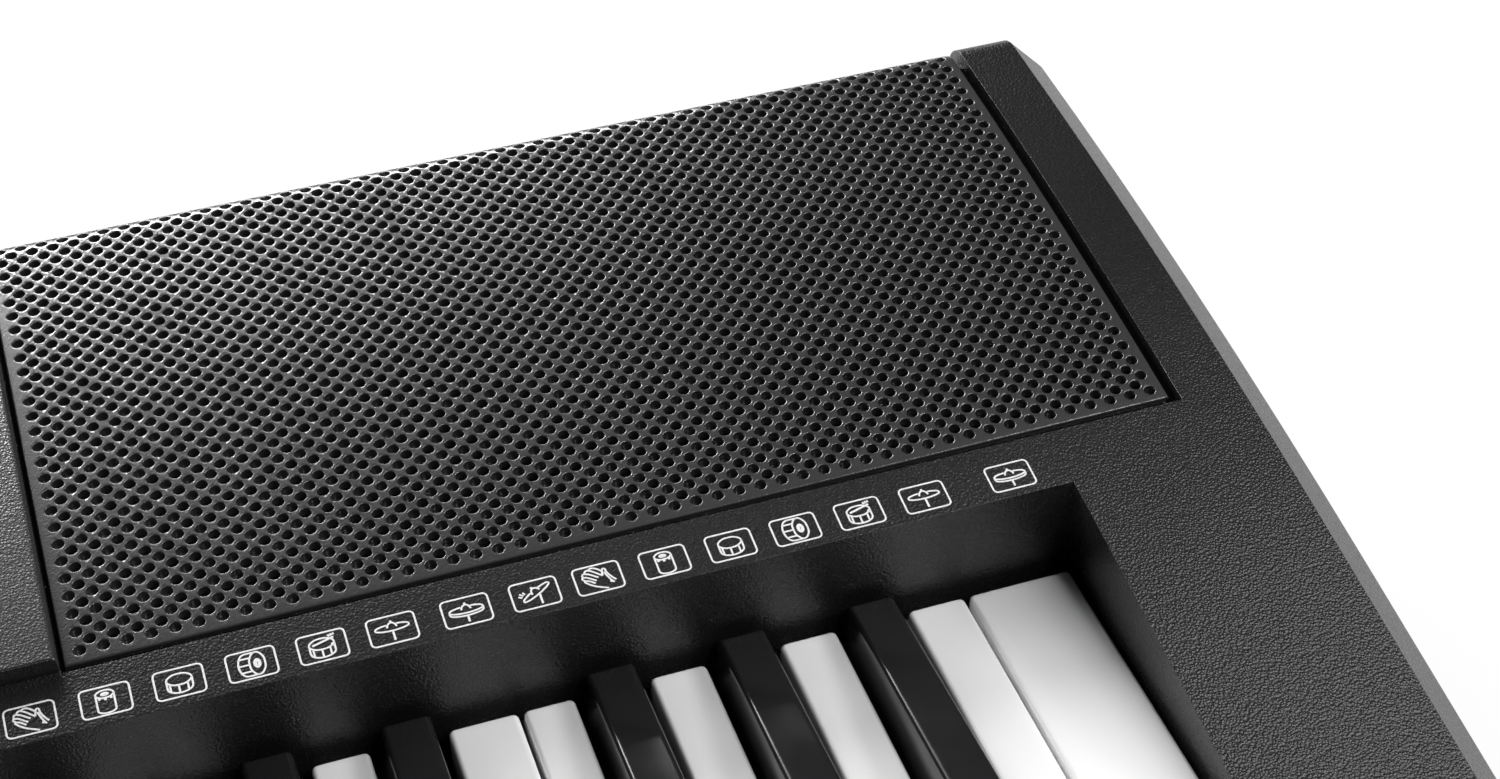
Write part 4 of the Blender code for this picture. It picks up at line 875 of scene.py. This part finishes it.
def makeArm(x, rootY, rootZ, level, endY):
    neck = keyForm["railBottoms"][level] + keyForm["railThick"] / 2
    half = keyForm["neckThick"] / 2
    outline = [(rootY, rootZ), (endY, neck - half), (endY, neck + half), (rootY, rootZ + keyForm["armRise"])]
    arm = slab(outline, x - keyForm["armWidth"] / 2, x + keyForm["armWidth"] / 2)
    lengthwise = [edge for edge in arm.edges if abs(edge.verts[0].co.x - edge.verts[1].co.x) < 1e-6
                  and abs(edge.verts[0].co.y - edge.verts[1].co.y) > 10 * mm]
    roundEdges(arm, lengthwise, 0.4 * mm)
    return arm


def makeWhiteKey(index, start, endY, plain=False):
    left, right = tailEdges(index, plain)
    headLeft = index * keyForm["pitch"] + keyForm["gap"] / 2
    headRight = (index + 1) * keyForm["pitch"] - keyForm["gap"] / 2
    outline = [(headLeft, keyForm["frontY"]), (headRight, keyForm["frontY"])]
    if right < headRight:
        outline += [(headRight, keyForm["notchY"]), (right, keyForm["notchY"])]
    outline += [(right, keyForm["rearY"]), (left, keyForm["rearY"])]
    if left > headLeft:
        outline += [(left, keyForm["notchY"]), (headLeft, keyForm["notchY"])]
    key = bmesh.new()
    face = key.faces.new([key.verts.new((start + x, y, keyForm["skirt"])) for x, y in outline])
    made = bmesh.ops.extrude_face_region(key, geom=[face])
    bmesh.ops.translate(key, vec=(0, 0, keyForm["top"] - keyForm["skirt"]), verts=newItems(made, bmesh.types.BMVert))
    bmesh.ops.recalc_face_normals(key, faces=key.faces)
    corners = [edge for edge in key.edges if isUpright(edge) and edge.is_convex]
    roundEdges(key, corners, keyForm["cornerRound"], 4)
    rim = [edge for edge in key.edges if min(vert.co.z for vert in edge.verts) > keyForm["top"] - 0.01 * mm]
    roundEdges(key, rim, keyForm["topRound"], 4)
    hollowUnder(key, keyForm["top"] - keyForm["skirt"] - keyForm["roof"])
    level = 0 if index % 7 in combNotes["keys_c_e_g_b"] else 1
    arm = makeArm(start + (left + right) / 2, keyForm["rearY"] - keyForm["wall"] / 2, keyForm["whiteArmZ"], level, endY)
    return merged(key, arm)


def makeSharp(boundary, start, endY):
    x = start + sharpCentre(boundary)
    half = sharpForm["baseWidth"] / 2
    key = block((x - half, sharpForm["frontY"], keyForm["skirt"]), (x + half, sharpForm["rearY"], keyForm["top"]))
    middleY = (sharpForm["frontY"] + sharpForm["rearY"]) / 2
    for vert in key.verts:
        if vert.co.z > keyForm["skirt"] + mm:
            atFront = vert.co.y < middleY
            vert.co.x = x + math.copysign(sharpForm["topWidth"] / 2, vert.co.x - x)
            vert.co.y = sharpForm["frontY"] + sharpForm["slant"] if atFront else sharpForm["rearY"]
            vert.co.z = sharpForm["frontTop"] if atFront else sharpForm["rearTop"]
    corners = [edge for edge in key.edges if abs(edge.verts[0].co.z - edge.verts[1].co.z) > 15 * mm]
    roundEdges(key, corners, 1.0 * mm, 3)
    rim = [edge for edge in key.edges if min(vert.co.z for vert in edge.verts) > sharpForm["rearTop"] - 1.0 * mm]
    roundEdges(key, rim, sharpForm["edgeRound"], 4)
    hollowUnder(key, (keyForm["top"] - keyForm["skirt"]) / 2)
    arm = makeArm(x, sharpForm["rearY"] - keyForm["wall"] / 2, keyForm["blackArmZ"], 2, endY)
    return merged(key, arm)


def makeRail(centres, level):
    low = keyForm["railBottoms"][level]
    margin = keyForm["armWidth"] / 2 + 1 * mm
    return block((min(centres) - margin, keyForm["hingeY"], low),
                 (max(centres) + margin, keyForm["hingeY"] + keyForm["railDepth"], low + keyForm["railThick"]), 0.3 * mm)


def makeKeys():
    intoRail = keyForm["hingeY"] + 0.5 * mm
    for octave in range(4):
        start = keyForm["startX"] + octave * octaveLength
        for group, indices in combNotes.items():
            keys = [makeWhiteKey(index, start, intoRail) for index in indices]
            centres = [start + sum(tailEdges(index, False)) / 2 for index in indices]
            node = "octave_%d_%s" % (octave + 1, group)
            level = 0 if group == "keys_c_e_g_b" else 1
            newPiece(node + "_moulding", merged(*keys, makeRail(centres, level)), finishes["whiteKeyPolishedAbs"], node,
                     [node])
        sharps = [makeSharp(boundary, start, intoRail) for boundary in sharpNotes]
        centres = [start + sharpCentre(boundary) for boundary in sharpNotes]
        node = "octave_%d_sharps" % (octave + 1)
        newPiece(node + "_moulding", merged(*sharps, makeRail(centres, 2)), finishes["blackKeyPolishedAbs"], node, [node])
    start = keyForm["startX"] + 4 * octaveLength
    atNeck = keyForm["hingeY"] - 0.3 * mm
    for index, note in enumerate(whiteNotes):
        node = "key_" + note
        newPiece(node + "_moulding", makeWhiteKey(index, start, atNeck), finishes["whiteKeyPolishedAbs"], node, [node])
    for boundary, note in sharpNotes.items():
        node = "key_" + note
        newPiece(node + "_moulding", makeSharp(boundary, start, atNeck), finishes["blackKeyPolishedAbs"], node, [node])
    newPiece("key_top_c_moulding", makeWhiteKey(7, start, atNeck, plain=True), finishes["whiteKeyPolishedAbs"], "key_top_c",
             ["key_top_c"])


makeKeys()
print("scene: keys done")


# ---- drum pictograms, printed along the strip behind the keys; each is a list of pen strokes in millimetres

inkForm = {
    "line": 0.38 * mm,
    "thickness": 0.2,          # of the line's width, so it lies flat
    "frame": (4.62, 3.28, 0.9),
    "y": 10.4 * mm,
}


def bow(x, y, across, along, first=0, last=360, turn=0, points=9):
    # an ellipse, or the piece of one between two angles
    whole = last - first == 360
    stroke = []
    for index in range(points if not whole else points - 1):
        angle = math.radians(first + (last - first) * index / (points - 1))
        u, v = across * math.cos(angle), along * math.sin(angle)
        c, s = math.cos(math.radians(turn)), math.sin(math.radians(turn))
        stroke.append((x + u * c - v * s, y + u * s + v * c))
    return {"points": stroke, "smooth": True, "closed": whole}


def line(*points, smooth=False, weight=1.0):
    return {"points": list(points), "smooth": smooth, "closed": False, "weight": weight}


def roundedFrame(halfX, halfY, corner):
    points = []
    for signX, signY, first in ((1, 1, 0), (-1, 1, 90), (-1, -1, 180), (1, -1, 270)):
        for step in range(4):
            angle = math.radians(first + 30 * step)
            points.append((signX * (halfX - corner) + corner * math.cos(angle), signY * (halfY - corner) + corner * math.sin(angle)))
    return {"points": points, "smooth": False, "closed": True}


def drumShell(x, top, across, along, drop, staves):
    # a drum seen from above: its head, its two sides, its lower edge and its tension rods
    strokes = [bow(x, top, across, along), bow(x, top - drop, across, along, 180, 360)]
    for angle in (0, 180, *staves):
        stave = (x + across * math.cos(math.radians(angle)), top + along * math.sin(math.radians(angle)))
        strokes.append(line(stave, (stave[0], stave[1] - drop)))
    return strokes


def cymbalBell(x, y, turn=0.0):
    # the raised middle of a cymbal, with the nut above it
    c, s = math.cos(math.radians(turn)), math.sin(math.radians(turn))

    def turned(u, v):
        return x + u * c - v * s, y + u * s + v * c
    return [line(turned(-0.95, 0.0), turned(-0.62, 0.75), turned(0, 1.1), turned(0.62, 0.75), turned(0.95, 0.0), smooth=True),
            line(turned(0, 1.1), turned(0, 1.6), weight=1.15)]


pictograms = {
    "hand": [
        line((1.35, -2.85), (0.1, -2.3), (-1.0, -1.75), (-2.5, -0.5), (-2.75, -0.1), (-2.35, 0.0), (-0.85, -1.0), smooth=True),
        line((-2.5, 0.0), (-3.05, 0.7), (-2.75, 0.95), (-0.45, -0.45), smooth=True),
        line((-2.85, 0.9), (-2.75, 1.65), (-2.3, 1.75), (0.1, 0.2), smooth=True),
        line((-2.45, 1.75), (-1.85, 2.4), (-1.4, 2.35), (1.0, 0.4), smooth=True),
        line((-1.5, 2.4), (-0.75, 2.75), (0.2, 2.35), (1.15, 1.45), smooth=True),
        line((1.0, 0.4), (1.1, 1.2), (1.55, 2.05), (1.95, 1.0), (2.4, 0.0), (3.25, -1.25), smooth=True),
        line((1.45, 1.2), (1.75, 0.3), (2.25, -0.9), (2.75, -1.75), smooth=True),
        line((2.25, -0.9), (2.2, -1.6)),
    ],
    "conga": [
        bow(0, 1.55, 1.68, 0.88), bow(0, 1.55, 0.62, 0.26), bow(0, 1.55, 0.28, 0.08, points=7),
        line((-1.68, 1.55), (-1.68, -2.05)), line((1.68, 1.55), (1.68, -2.05)), bow(0, -2.05, 1.68, 0.8, 180, 360),
        line((-1.1, 0.85), (-1.1, 0.3), weight=1.3), line((0, 0.65), (0, 0.1), weight=1.3), line((1.1, 0.85), (1.1, 0.3), weight=1.3),
    ],
    "tom": drumShell(0, 0.75, 2.38, 1.28, 1.85, (219, 264, 308)),
    "bass": [
        bow(1.05, 0, 1.45, 2.65), bow(1.05, 0, 0.55, 0.95), bow(1.05, 0, 0.25, 0.6, points=7),
        bow(-1.0, 0, 1.5, 2.65, 90, 270), line((-1.0, 2.65), (1.05, 2.65)), line((-1.0, -2.65), (1.05, -2.65)),
        line((-2.2, 1.55), (-0.2, 1.55)), line((-2.45, 0.0), (-0.4, 0.0)), line((-2.2, -1.6), (-0.15, -1.6)),
    ],
    "snare": drumShell(-0.1, 0.7, 2.38, 1.28, 1.9, (222, 267, 308)) + [
        line((-1.85, 0.6), (2.4, 1.75), weight=1.2), line((1.4, 2.5), (1.75, 2.0)), line((1.9, 2.65), (2.15, 2.15)),
        line((2.45, 2.7), (2.5, 2.25)), bow(2.05, 0.1, 0.22, 0.22, points=7),
    ],
    "cymbal": [bow(0, 0.5, 3.3, 0.78, 107, 433, points=13), *cymbalBell(0, 0.55), line((0, -0.3), (0, -2.6), weight=1.15)],
    "hihat": [
        bow(0, 0.37, 3.32, 0.8, 107, 433, points=13), bow(0, -0.25, 3.32, 0.8, 180, 360),
        line((-3.32, 0.37), (-3.32, -0.25)), line((3.32, 0.37), (3.32, -0.25)),
        *cymbalBell(0, 0.45), line((0, -1.05), (0, -2.6), weight=1.15),
    ],
    "crash": [
        bow(0.33, 0.35, 3.3, 0.66, 107, 433, turn=30, points=13), *cymbalBell(0.3, 0.42, 30), line((0.88, -0.35), (0.88, -2.6), weight=1.15),
        line((-3.3, 0.15), (-2.6, -0.25)), line((-3.0, 0.75), (-2.3, 0.15)), line((-2.3, 1.0), (-1.95, 0.4)),
    ],
}
pictogramRow = (
    ("hand", 216.3), ("conga", 230.1), ("tom", 243.8), ("bass", 257.4), ("snare", 270.9), ("cymbal", 284.4), ("hihat", 298.9),
    ("crash", 312.5), ("hand", 325.2), ("conga", 338.7), ("tom", 352.3), ("bass", 365.8), ("snare", 379.4), ("cymbal", 393.3),
    ("hihat", 411.9),
)


def inkShape(strokes, width):
    # draws the strokes as round lines and flattens them to a thin film of ink
    curve = bpy.data.curves.new("ink", "CURVE")
    curve.dimensions = "3D"
    curve.bevel_depth = width / 2
    curve.bevel_resolution = 1
    curve.resolution_u = 4
    curve.use_fill_caps = True
    for stroke in strokes:
        spline = curve.splines.new("BEZIER")
        spline.bezier_points.add(len(stroke["points"]) - 1)
        spline.use_cyclic_u = stroke["closed"]
        for point, (x, y) in zip(spline.bezier_points, stroke["points"]):
            point.co = (x * mm, y * mm, 0)
            point.radius = stroke.get("weight", 1.0)
            handle = "AUTO" if stroke["smooth"] else "VECTOR"
            point.handle_left_type = handle
            point.handle_right_type = handle
    item = bpy.data.objects.new("ink", curve)
    bpy.context.scene.collection.objects.link(item)
    mesh = bpy.data.meshes.new_from_object(item.evaluated_get(bpy.context.evaluated_depsgraph_get()))
    shape = bmesh.new()
    shape.from_mesh(mesh)
    bpy.data.objects.remove(item)
    bpy.data.curves.remove(curve)
    bpy.data.meshes.remove(mesh)
    bmesh.ops.scale(shape, vec=(1, 1, inkForm["thickness"]), verts=shape.verts)
    return shape


def makePictograms():
    drawn = []
    for name, x in pictogramRow:
        strokes = [roundedFrame(*inkForm["frame"])] + pictograms[name]
        drawn.append(place(inkShape(strokes, inkForm["line"]), deckPlane(x * mm, inkForm["y"])))
    newPiece("drum_pictograms", merged(*drawn), finishes["iconScreenInk"], "case")


makePictograms()
print("scene: pictograms done")


# ---- control panel; its pieces are drawn flat, with the panel's face at zero height, then tilted with the deck

panelForm = {
    "y": 74.15 * mm,
    "rise": 2.6 * mm,
    "edgeRound": 0.35 * mm,
    "buttonSize": (13 * mm, 8 * mm),
    "padSize": (13 * mm, 9 * mm),
    "buttonRise": 1.6 * mm,
    "capRound": (1.2 * mm, 0.7 * mm),
    "flangeTop": -2.8 * mm,
    "flange": 1.2 * mm,
    "buttons": {
        "start_stop_button": (-190 * mm, -34 * mm),
        "intro_button": (-166 * mm, -34 * mm),
        "fill_button": (-142 * mm, -34 * mm),
        "sync_button": (-118 * mm, -34 * mm),
        "tempo_down_button": (-118 * mm, -8 * mm),
        "tempo_up_button": (-118 * mm, 10 * mm),
        "power_button": (-194 * mm, 32 * mm),
    },
    "knob": (-160 * mm, 18 * mm),
    "pad": ((158 * mm, 2 * mm), (4, 4), (19 * mm, 16 * mm)),
    "row": ((0, -34 * mm), (7, 1), (21 * mm, 0)),
    "window": ((0, 16 * mm), (150 * mm, 44 * mm)),
}
panelPlane = deckPlane(0, panelForm["y"], panelForm["rise"])


def gridPlaces(centre, counts, step):
    return [(centre[0] + (across - (counts[0] - 1) / 2) * step[0], centre[1] + (along - (counts[1] - 1) / 2) * step[1])
            for across in range(counts[0]) for along in range(counts[1])]


def makePanelShell():
    shape = solidCopy("control_panel")
    flat = panelPlane.inverted()

    def isTopEdge(edge):
        return min((flat @ vert.co).z for vert in edge.verts) > -0.05 * mm
    roundEdges(shape, sharpEdges(shape, 50, isTopEdge), panelForm["edgeRound"], 2)
    shell = newPiece("panel_shell", shape, finishes["panelGrainedAbs"], "case", ["control_panel"])
    evenNormals(shell)


def makeCap(x, y, size, low):
    # a button cap with a slightly dished top
    corner, top = panelForm["capRound"]
    half = (size[0] / 2, size[1] / 2)
    shape = roundedBlock((x - half[0], y - half[1], low), (x + half[0], y + half[1], panelForm["buttonRise"]), corner, top)
    crown = [face for face in shape.faces if face.normal.z > 0.99]
    bmesh.ops.inset_region(shape, faces=crown, thickness=0.8 * mm, depth=-0.12 * mm, use_even_offset=True)
    return shape


def makeButtons():
    low = panelForm["flangeTop"] - panelForm["flange"]
    for name, (x, y) in panelForm["buttons"].items():
        width, depth = panelForm["buttonSize"]
        cap = makeCap(x, y, (width, depth), low + 0.2 * mm)
        flange = block((x - width / 2 - 1.5 * mm, y - depth / 2 - 1.5 * mm, low),
                       (x + width / 2 + 1.5 * mm, y + depth / 2 + 1.5 * mm, panelForm["flangeTop"]), 0.2 * mm)
        newPiece(name + "_cap", place(merged(cap, flange), panelPlane), finishes["buttonSatinAbs"], name, [name])
    for name, key, size in (("number_pad", "pad", "padSize"), ("function_buttons", "row", "buttonSize")):
        centre, counts, step = panelForm[key]
        width, depth = panelForm[size]
        caps = [makeCap(x, y, (width, depth), low + 0.2 * mm) for x, y in gridPlaces(centre, counts, step)]
        spanX = (counts[0] - 1) * step[0] + width + 3 * mm
        spanY = (counts[1] - 1) * step[1] + depth + 3 * mm
        web = block((centre[0] - spanX / 2, centre[1] - spanY / 2, low), (centre[0] + spanX / 2, centre[1] + spanY / 2,
                    panelForm["flangeTop"]), 0.2 * mm)
        newPiece(name + "_caps", place(merged(web, *caps), panelPlane), finishes["buttonSatinAbs"], name, [name])


knobForm = {
    "profile": [(0, 12.4), (7.4, 12.4), (8.1, 12.55), (8.9, 12.9), (9.3, 13.0), (9.8, 12.9), (10.1, 12.5), (10.25, 12.0),
                (10.7, 3.2), (10.95, 2.4), (11.0, 1.6), (11.0, 1.0), (10.7, 0.6), (3.0, 0.6), (3.0, -9.7), (0, -9.7)],
    "ribs": 36,
    "pointer": ((-0.5 * mm, 4.6 * mm, 12.2 * mm), (0.5 * mm, 8.6 * mm, 12.75 * mm)),
}


def makeKnob():
    # a spun knob with a dished top and fine grip ribs
    x, y = panelForm["knob"]
    stand = panelPlane @ Matrix.Translation((x, y, 0))
    body = spun([(radius * mm, height * mm) for radius, height in knobForm["profile"]], 72)
    ribs = []
    for index in range(knobForm["ribs"]):
        rib = block((10.1 * mm, -0.28 * mm, 2.8 * mm), (10.75 * mm, 0.28 * mm, 11.4 * mm), 0.14 * mm)
        bmesh.ops.rotate(rib, verts=rib.verts, matrix=Matrix.Rotation(-0.045, 3, "Y"), cent=(10.4 * mm, 0, 7 * mm))
        ribs.append(place(rib, Matrix.Rotation(2 * math.pi * index / knobForm["ribs"], 4, "Z")))
    newPiece("volume_knob_cap", place(merged(body, *ribs), stand), finishes["knobCapPolishedAbs"], "volume_knob",
             ["volume_knob"])
    pointer = block(*knobForm["pointer"], 0.15 * mm)
    newPiece("volume_knob_pointer", place(pointer, stand), finishes["iconScreenInk"], "volume_knob")


def arcStroke(x, y, radius, first, last, weight=1.0):
    points = [(x + radius * math.cos(math.radians(angle)), y + radius * math.sin(math.radians(angle)))
              for angle in [first + (last - first) * step / 8 for step in range(9)]]
    return line(*points, smooth=True, weight=weight)


def makePanelMarks():
    # white marks beside the controls: power, tempo arrows, volume wedge, play, bars and notes
    strokes = []
    x, y = -194, 40.5
    strokes += [arcStroke(x, y, 1.8, 120, 420), line((x, y + 0.3), (x, y + 2.4))]
    x, y = -118, 19.5
    strokes.append({"points": [(x - 2.2, y - 1.2), (x + 2.2, y - 1.2), (x, y + 1.8)], "smooth": False, "closed": True})
    x, y = -118, -16.5
    strokes.append({"points": [(x - 2.2, y + 1.2), (x + 2.2, y + 1.2), (x, y - 1.8)], "smooth": False, "closed": True})
    x, y = -190, -25.5
    strokes.append({"points": [(x - 3.6, y - 1.5), (x - 3.6, y + 1.5), (x - 1.0, y)], "smooth": False, "closed": True})
    strokes.append({"points": [(x + 0.8, y - 1.3), (x + 3.4, y - 1.3), (x + 3.4, y + 1.3), (x + 0.8, y + 1.3)], "smooth": False, "closed": True})
    for x, count in ((-166, 1), (-142, 2), (-118, 3)):
        for step in range(count):
            middle = x + (step - (count - 1) / 2) * 2.0
            strokes.append(line((middle, -27.0), (middle, -24.0)))
    x, y = (value / mm for value in panelForm["knob"])
    strokes.append(arcStroke(x, y, 14.5, 240, -60))
    for step in range(11):
        angle = math.radians(240 - 30 * step)
        strokes.append(line((x + 13.2 * math.cos(angle), y + 13.2 * math.sin(angle)),
                            (x + 14.5 * math.cos(angle), y + 14.5 * math.sin(angle))))
    for step in range(7):
        x = 21 * (step - 3)
        strokes.append(line((x - 1.2, -26.5), (x - 1.2, -23.2), (x + 1.2, -22.6), (x + 1.2, -25.9)))
        strokes += [line((x - 1.6, -26.6), (x - 1.2, -26.4), weight=2.4), line((x + 0.8, -26.0), (x + 1.2, -25.8), weight=2.4)]
    strokes.append({**roundedFrame(42, 35.5, 3), "points": [(px + 158, py + 2) for px, py in roundedFrame(42, 35.5, 3)["points"]]})
    marks = place(inkShape(strokes, 0.4 * mm), panelPlane)
    newPiece("panel_marks", marks, finishes["iconScreenInk"], "case")


def makeDisplay():
    (x, y), (width, depth) = panelForm["window"]
    low, high = -2.1 * mm, -0.3 * mm
    pane = roundedBlock((x - width / 2, y - depth / 2, low), (x + width / 2, y + depth / 2, high), 0.8 * mm, 0.25 * mm)
    newPiece("display_pane", place(pane, panelPlane), finishes["windowSmokedAcrylic"], "case", ["display_window"])
    halfX, halfY = width / 2 - 5.5 * mm, depth / 2 - 5.5 * mm
    glass = block((x - halfX, y - halfY, -3.4 * mm), (x + halfX, y + halfY, -2.35 * mm), 0.15 * mm)
    newPiece("display_liquid_crystal", place(glass, panelPlane), finishes["displayLiquidCrystal"], "case")
    strokes = []
    for row in range(5):
        strokes.append(line((-58, 10 + 2.4 * row), (-8, 10 + 2.4 * row), weight=0.6))
    for noteX, noteY in ((-50, 11), (-41, 13.5), (-32, 16), (-23, 13.5), (-14, 18.5)):
        strokes += [line((noteX - 0.5, noteY - 0.2), (noteX + 0.5, noteY + 0.2), weight=3.6), line((noteX + 1.0, noteY), (noteX + 1.0, noteY + 6.5))]
    for step in range(12):
        for level in range(1 + (step * 5) % 7):
            strokes.append(line((8 + 3.6 * step, 10 + 2.2 * level), (10.2 + 3.6 * step, 10 + 2.2 * level), weight=2.2))
    shape = inkShape(strokes, 0.5 * mm)
    newPiece("display_segments", place(shape, panelPlane @ Matrix.Translation((0, 0, -2.33 * mm))), finishes["displayFrameAbs"],
             "case")


makePanelShell()
makeButtons()
makeKnob()
makePanelMarks()
makeDisplay()
print("scene: control panel done")


# ---- sockets at the back

socketForm = {
    "places": {"power_socket": -130 * mm, "headphone_socket": -162 * mm, "pedal_socket": -194 * mm},
    "height": 49 * mm,
    "body": (14 * mm, 22 * mm),
    "frontY": rearFace - 2.8 * mm,
    "rearY": rearFace,
    "bores": {"power_socket": 2.9 * mm, "headphone_socket": 3.3 * mm, "pedal_socket": 3.3 * mm},
    "barrel": 5.7 * mm,
}


def makeSockets():
    z = socketForm["height"]
    half = socketForm["body"][0] / 2
    for name, x in socketForm["places"].items():
        bore = socketForm["bores"][name]
        front, rear = socketForm["frontY"], socketForm["rearY"]
        body = block((x - half, front - socketForm["body"][1], z - half), (x + half, front - 2 * mm, z + half), 0.5 * mm)
        face = Matrix.Translation((x, rear, z)) @ Matrix.Rotation(-math.pi / 2, 4, "X")
        barrel = spun([(bore, -8 * mm), (bore, -0.9 * mm), (bore + 0.8 * mm, 0), (5.2 * mm, 0), (5.7 * mm, -0.5 * mm), (5.7 * mm, -5.0 * mm),
                       (6.6 * mm, -5.0 * mm), (6.6 * mm, -8 * mm), (bore, -8 * mm)], 48)
        newPiece(name + "_barrel", merged(body, place(barrel, face)), finishes["socketSatinAbs"], "case", [name])
        if name == "power_socket":
            inner = spun([(0, -7.8 * mm), (0.95 * mm, -7.8 * mm), (0.95 * mm, -1.6 * mm), (0.6 * mm, -1.1 * mm), (0, -1.1 * mm)], 20)
        else:
            inner = spun([(bore + 0.02 * mm, -4.5 * mm), (bore + 0.02 * mm, -0.85 * mm), (bore + 1.1 * mm, 0.0), (bore + 1.5 * mm, -0.02 * mm),
                          (bore + 1.5 * mm, -0.3 * mm), (bore + 0.3 * mm, -4.5 * mm), (bore + 0.02 * mm, -4.5 * mm)], 48)
        newPiece(name + "_metal", place(inner, face), finishes["contactNickelSteel"], "case")


makeSockets()


# ---- felt, rubber strip and the CAD solids that stay

feltForm = {"round": 1.6 * mm, "segments": 4}


def makeSoftStrips():
    low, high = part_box("key_stop_felt")
    strip = block(low, high)
    bmesh.ops.subdivide_edges(strip, edges=[edge for edge in strip.edges if abs(edge.verts[0].co.x - edge.verts[1].co.x) > mm], cuts=61)
    upper = [edge for edge in strip.edges if min(vert.co.z for vert in edge.verts) > high.z - 0.01 * mm
             and abs(edge.verts[0].co.y - edge.verts[1].co.y) < 0.01 * mm]
    roundEdges(strip, upper, feltForm["round"], feltForm["segments"])
    newPiece("key_stop_felt_strip", strip, finishes["stopPressedFelt"], "case", ["key_stop_felt"])
    rubber = solidCopy("contact_rubber")
    roundEdges(rubber, sharpEdges(rubber, 25), 0.3 * mm, 2)
    newPiece("contact_rubber_strip", rubber, finishes["contactSoftRubber"], "case", ["contact_rubber"])


keptNodes = {
    "battery_contact_low": "contactNickelSteel",
    "battery_contact_high": "contactNickelSteel",
    "display_module": "displayFrameAbs",
    "panel_board": "boardGreenLacquer",
    "main_board": "boardGreenLacquer",
    "contact_board": "boardGreenLacquer",
    "key_chassis": "chassisPlainAbs",
}


def finishKeptNodes():
    for name, finish in keptNodes.items():
        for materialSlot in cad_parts[name].material_slots:
            materialSlot.material = finishes[finish]


makeSoftStrips()
finishKeptNodes()
print("scene: sockets, strips and boards done")


# ---- floor, background and studio light

studio = {
    "floorSize": 12.0,
    "worldColour": "#ffffff",
    "worldLevel": 0.03,
    "target": (0.3, 0, 0.08),
    "lamps": {
        # place, width, height, watts
        "keySide": ((1.096, 0.084, 1.466), 0.5, 0.5, 6.4),
        "keyLow": ((1.656, 0.047, 0.928), 0.3, 0.3, 7),
        "keyFront": ((1.413, -0.75, 0.951), 0.5, 0.5, 7),
        "frontEdge": ((0.735, -0.932, 1.306), 0.2, 0.2, 5.6),
        "rearLeft": ((0.001, 1.407, 0.781), 0.5, 0.5, 15.5),
        "rearRight": ((0.455, 1.475, 0.679), 0.5, 0.5, 9.5),
        "leftSoft": ((-0.532, 0.992, 1.02), 1.0, 0.5, 3.5),
        "leftLow": ((-1.094, 0.507, 0.679), 0.5, 0.5, 9),
    },
}


def makeFloor():
    material = bpy.data.materials.new("floorPalePaper")
    material.use_nodes = True
    tree = material.node_tree
    shader = tree.nodes["Principled BSDF"]
    shader.inputs["Roughness"].default_value = 0.9
    coordinates = addNode(tree, "ShaderNodeTexCoord").outputs["Object"]
    tree.links.new(mottled(tree, coordinates, 300, "#ececec", "#f0f0f0"), shader.inputs["Base Color"])
    glow = addNode(tree, "ShaderNodeEmission", None, {"Strength": 1.0})
    path = addNode(tree, "ShaderNodeLightPath")
    seen = addNode(tree, "ShaderNodeMath", {"operation": "MAXIMUM"}, {0: path.outputs["Is Camera Ray"], 1: path.outputs["Is Glossy Ray"]})
    alsoSeen = addNode(tree, "ShaderNodeMath", {"operation": "MAXIMUM"}, {0: seen.outputs[0], 1: path.outputs["Is Transmission Ray"]})
    share = addNode(tree, "ShaderNodeMath", {"operation": "MULTIPLY"}, {0: alsoSeen.outputs[0], 1: 0.8})
    blend = addNode(tree, "ShaderNodeMixShader", None, {0: share.outputs[0], 1: shader.outputs[0], 2: glow.outputs[0]})
    tree.links.new(blend.outputs[0], tree.nodes["Material Output"].inputs["Surface"])
    shape = bmesh.new()
    bmesh.ops.create_grid(shape, x_segments=1, y_segments=1, size=studio["floorSize"])
    mesh = bpy.data.meshes.new("floor")
    shape.to_mesh(mesh)
    shape.free()
    floor = bpy.data.objects.new("floor", mesh)
    bpy.context.scene.collection.objects.link(floor)
    paint(floor, material)


def makeWorld():
    world = bpy.data.worlds.new("studio")
    bpy.context.scene.world = world
    world.use_nodes = True
    tree = world.node_tree
    lighting = tree.nodes["Background"]
    lighting.inputs["Color"].default_value = hexToLinear(studio["worldColour"])
    lighting.inputs["Strength"].default_value = studio["worldLevel"]


def makeLamps():
    for name, (spot, width, height, watts) in studio["lamps"].items():
        lamp = bpy.data.lights.new(name, "AREA")
        lamp.shape = "RECTANGLE"
        lamp.size = width
        lamp.size_y = height
        lamp.energy = watts
        item = bpy.data.objects.new(name, lamp)
        item.location = spot
        item.rotation_euler = (Vector(studio["target"]) - Vector(spot)).to_track_quat("-Z", "Y").to_euler()
        bpy.context.scene.collection.objects.link(item)


makeFloor()
makeWorld()
makeLamps()
bpy.context.scene.view_settings.view_transform = "Standard"
print("scene: studio done")
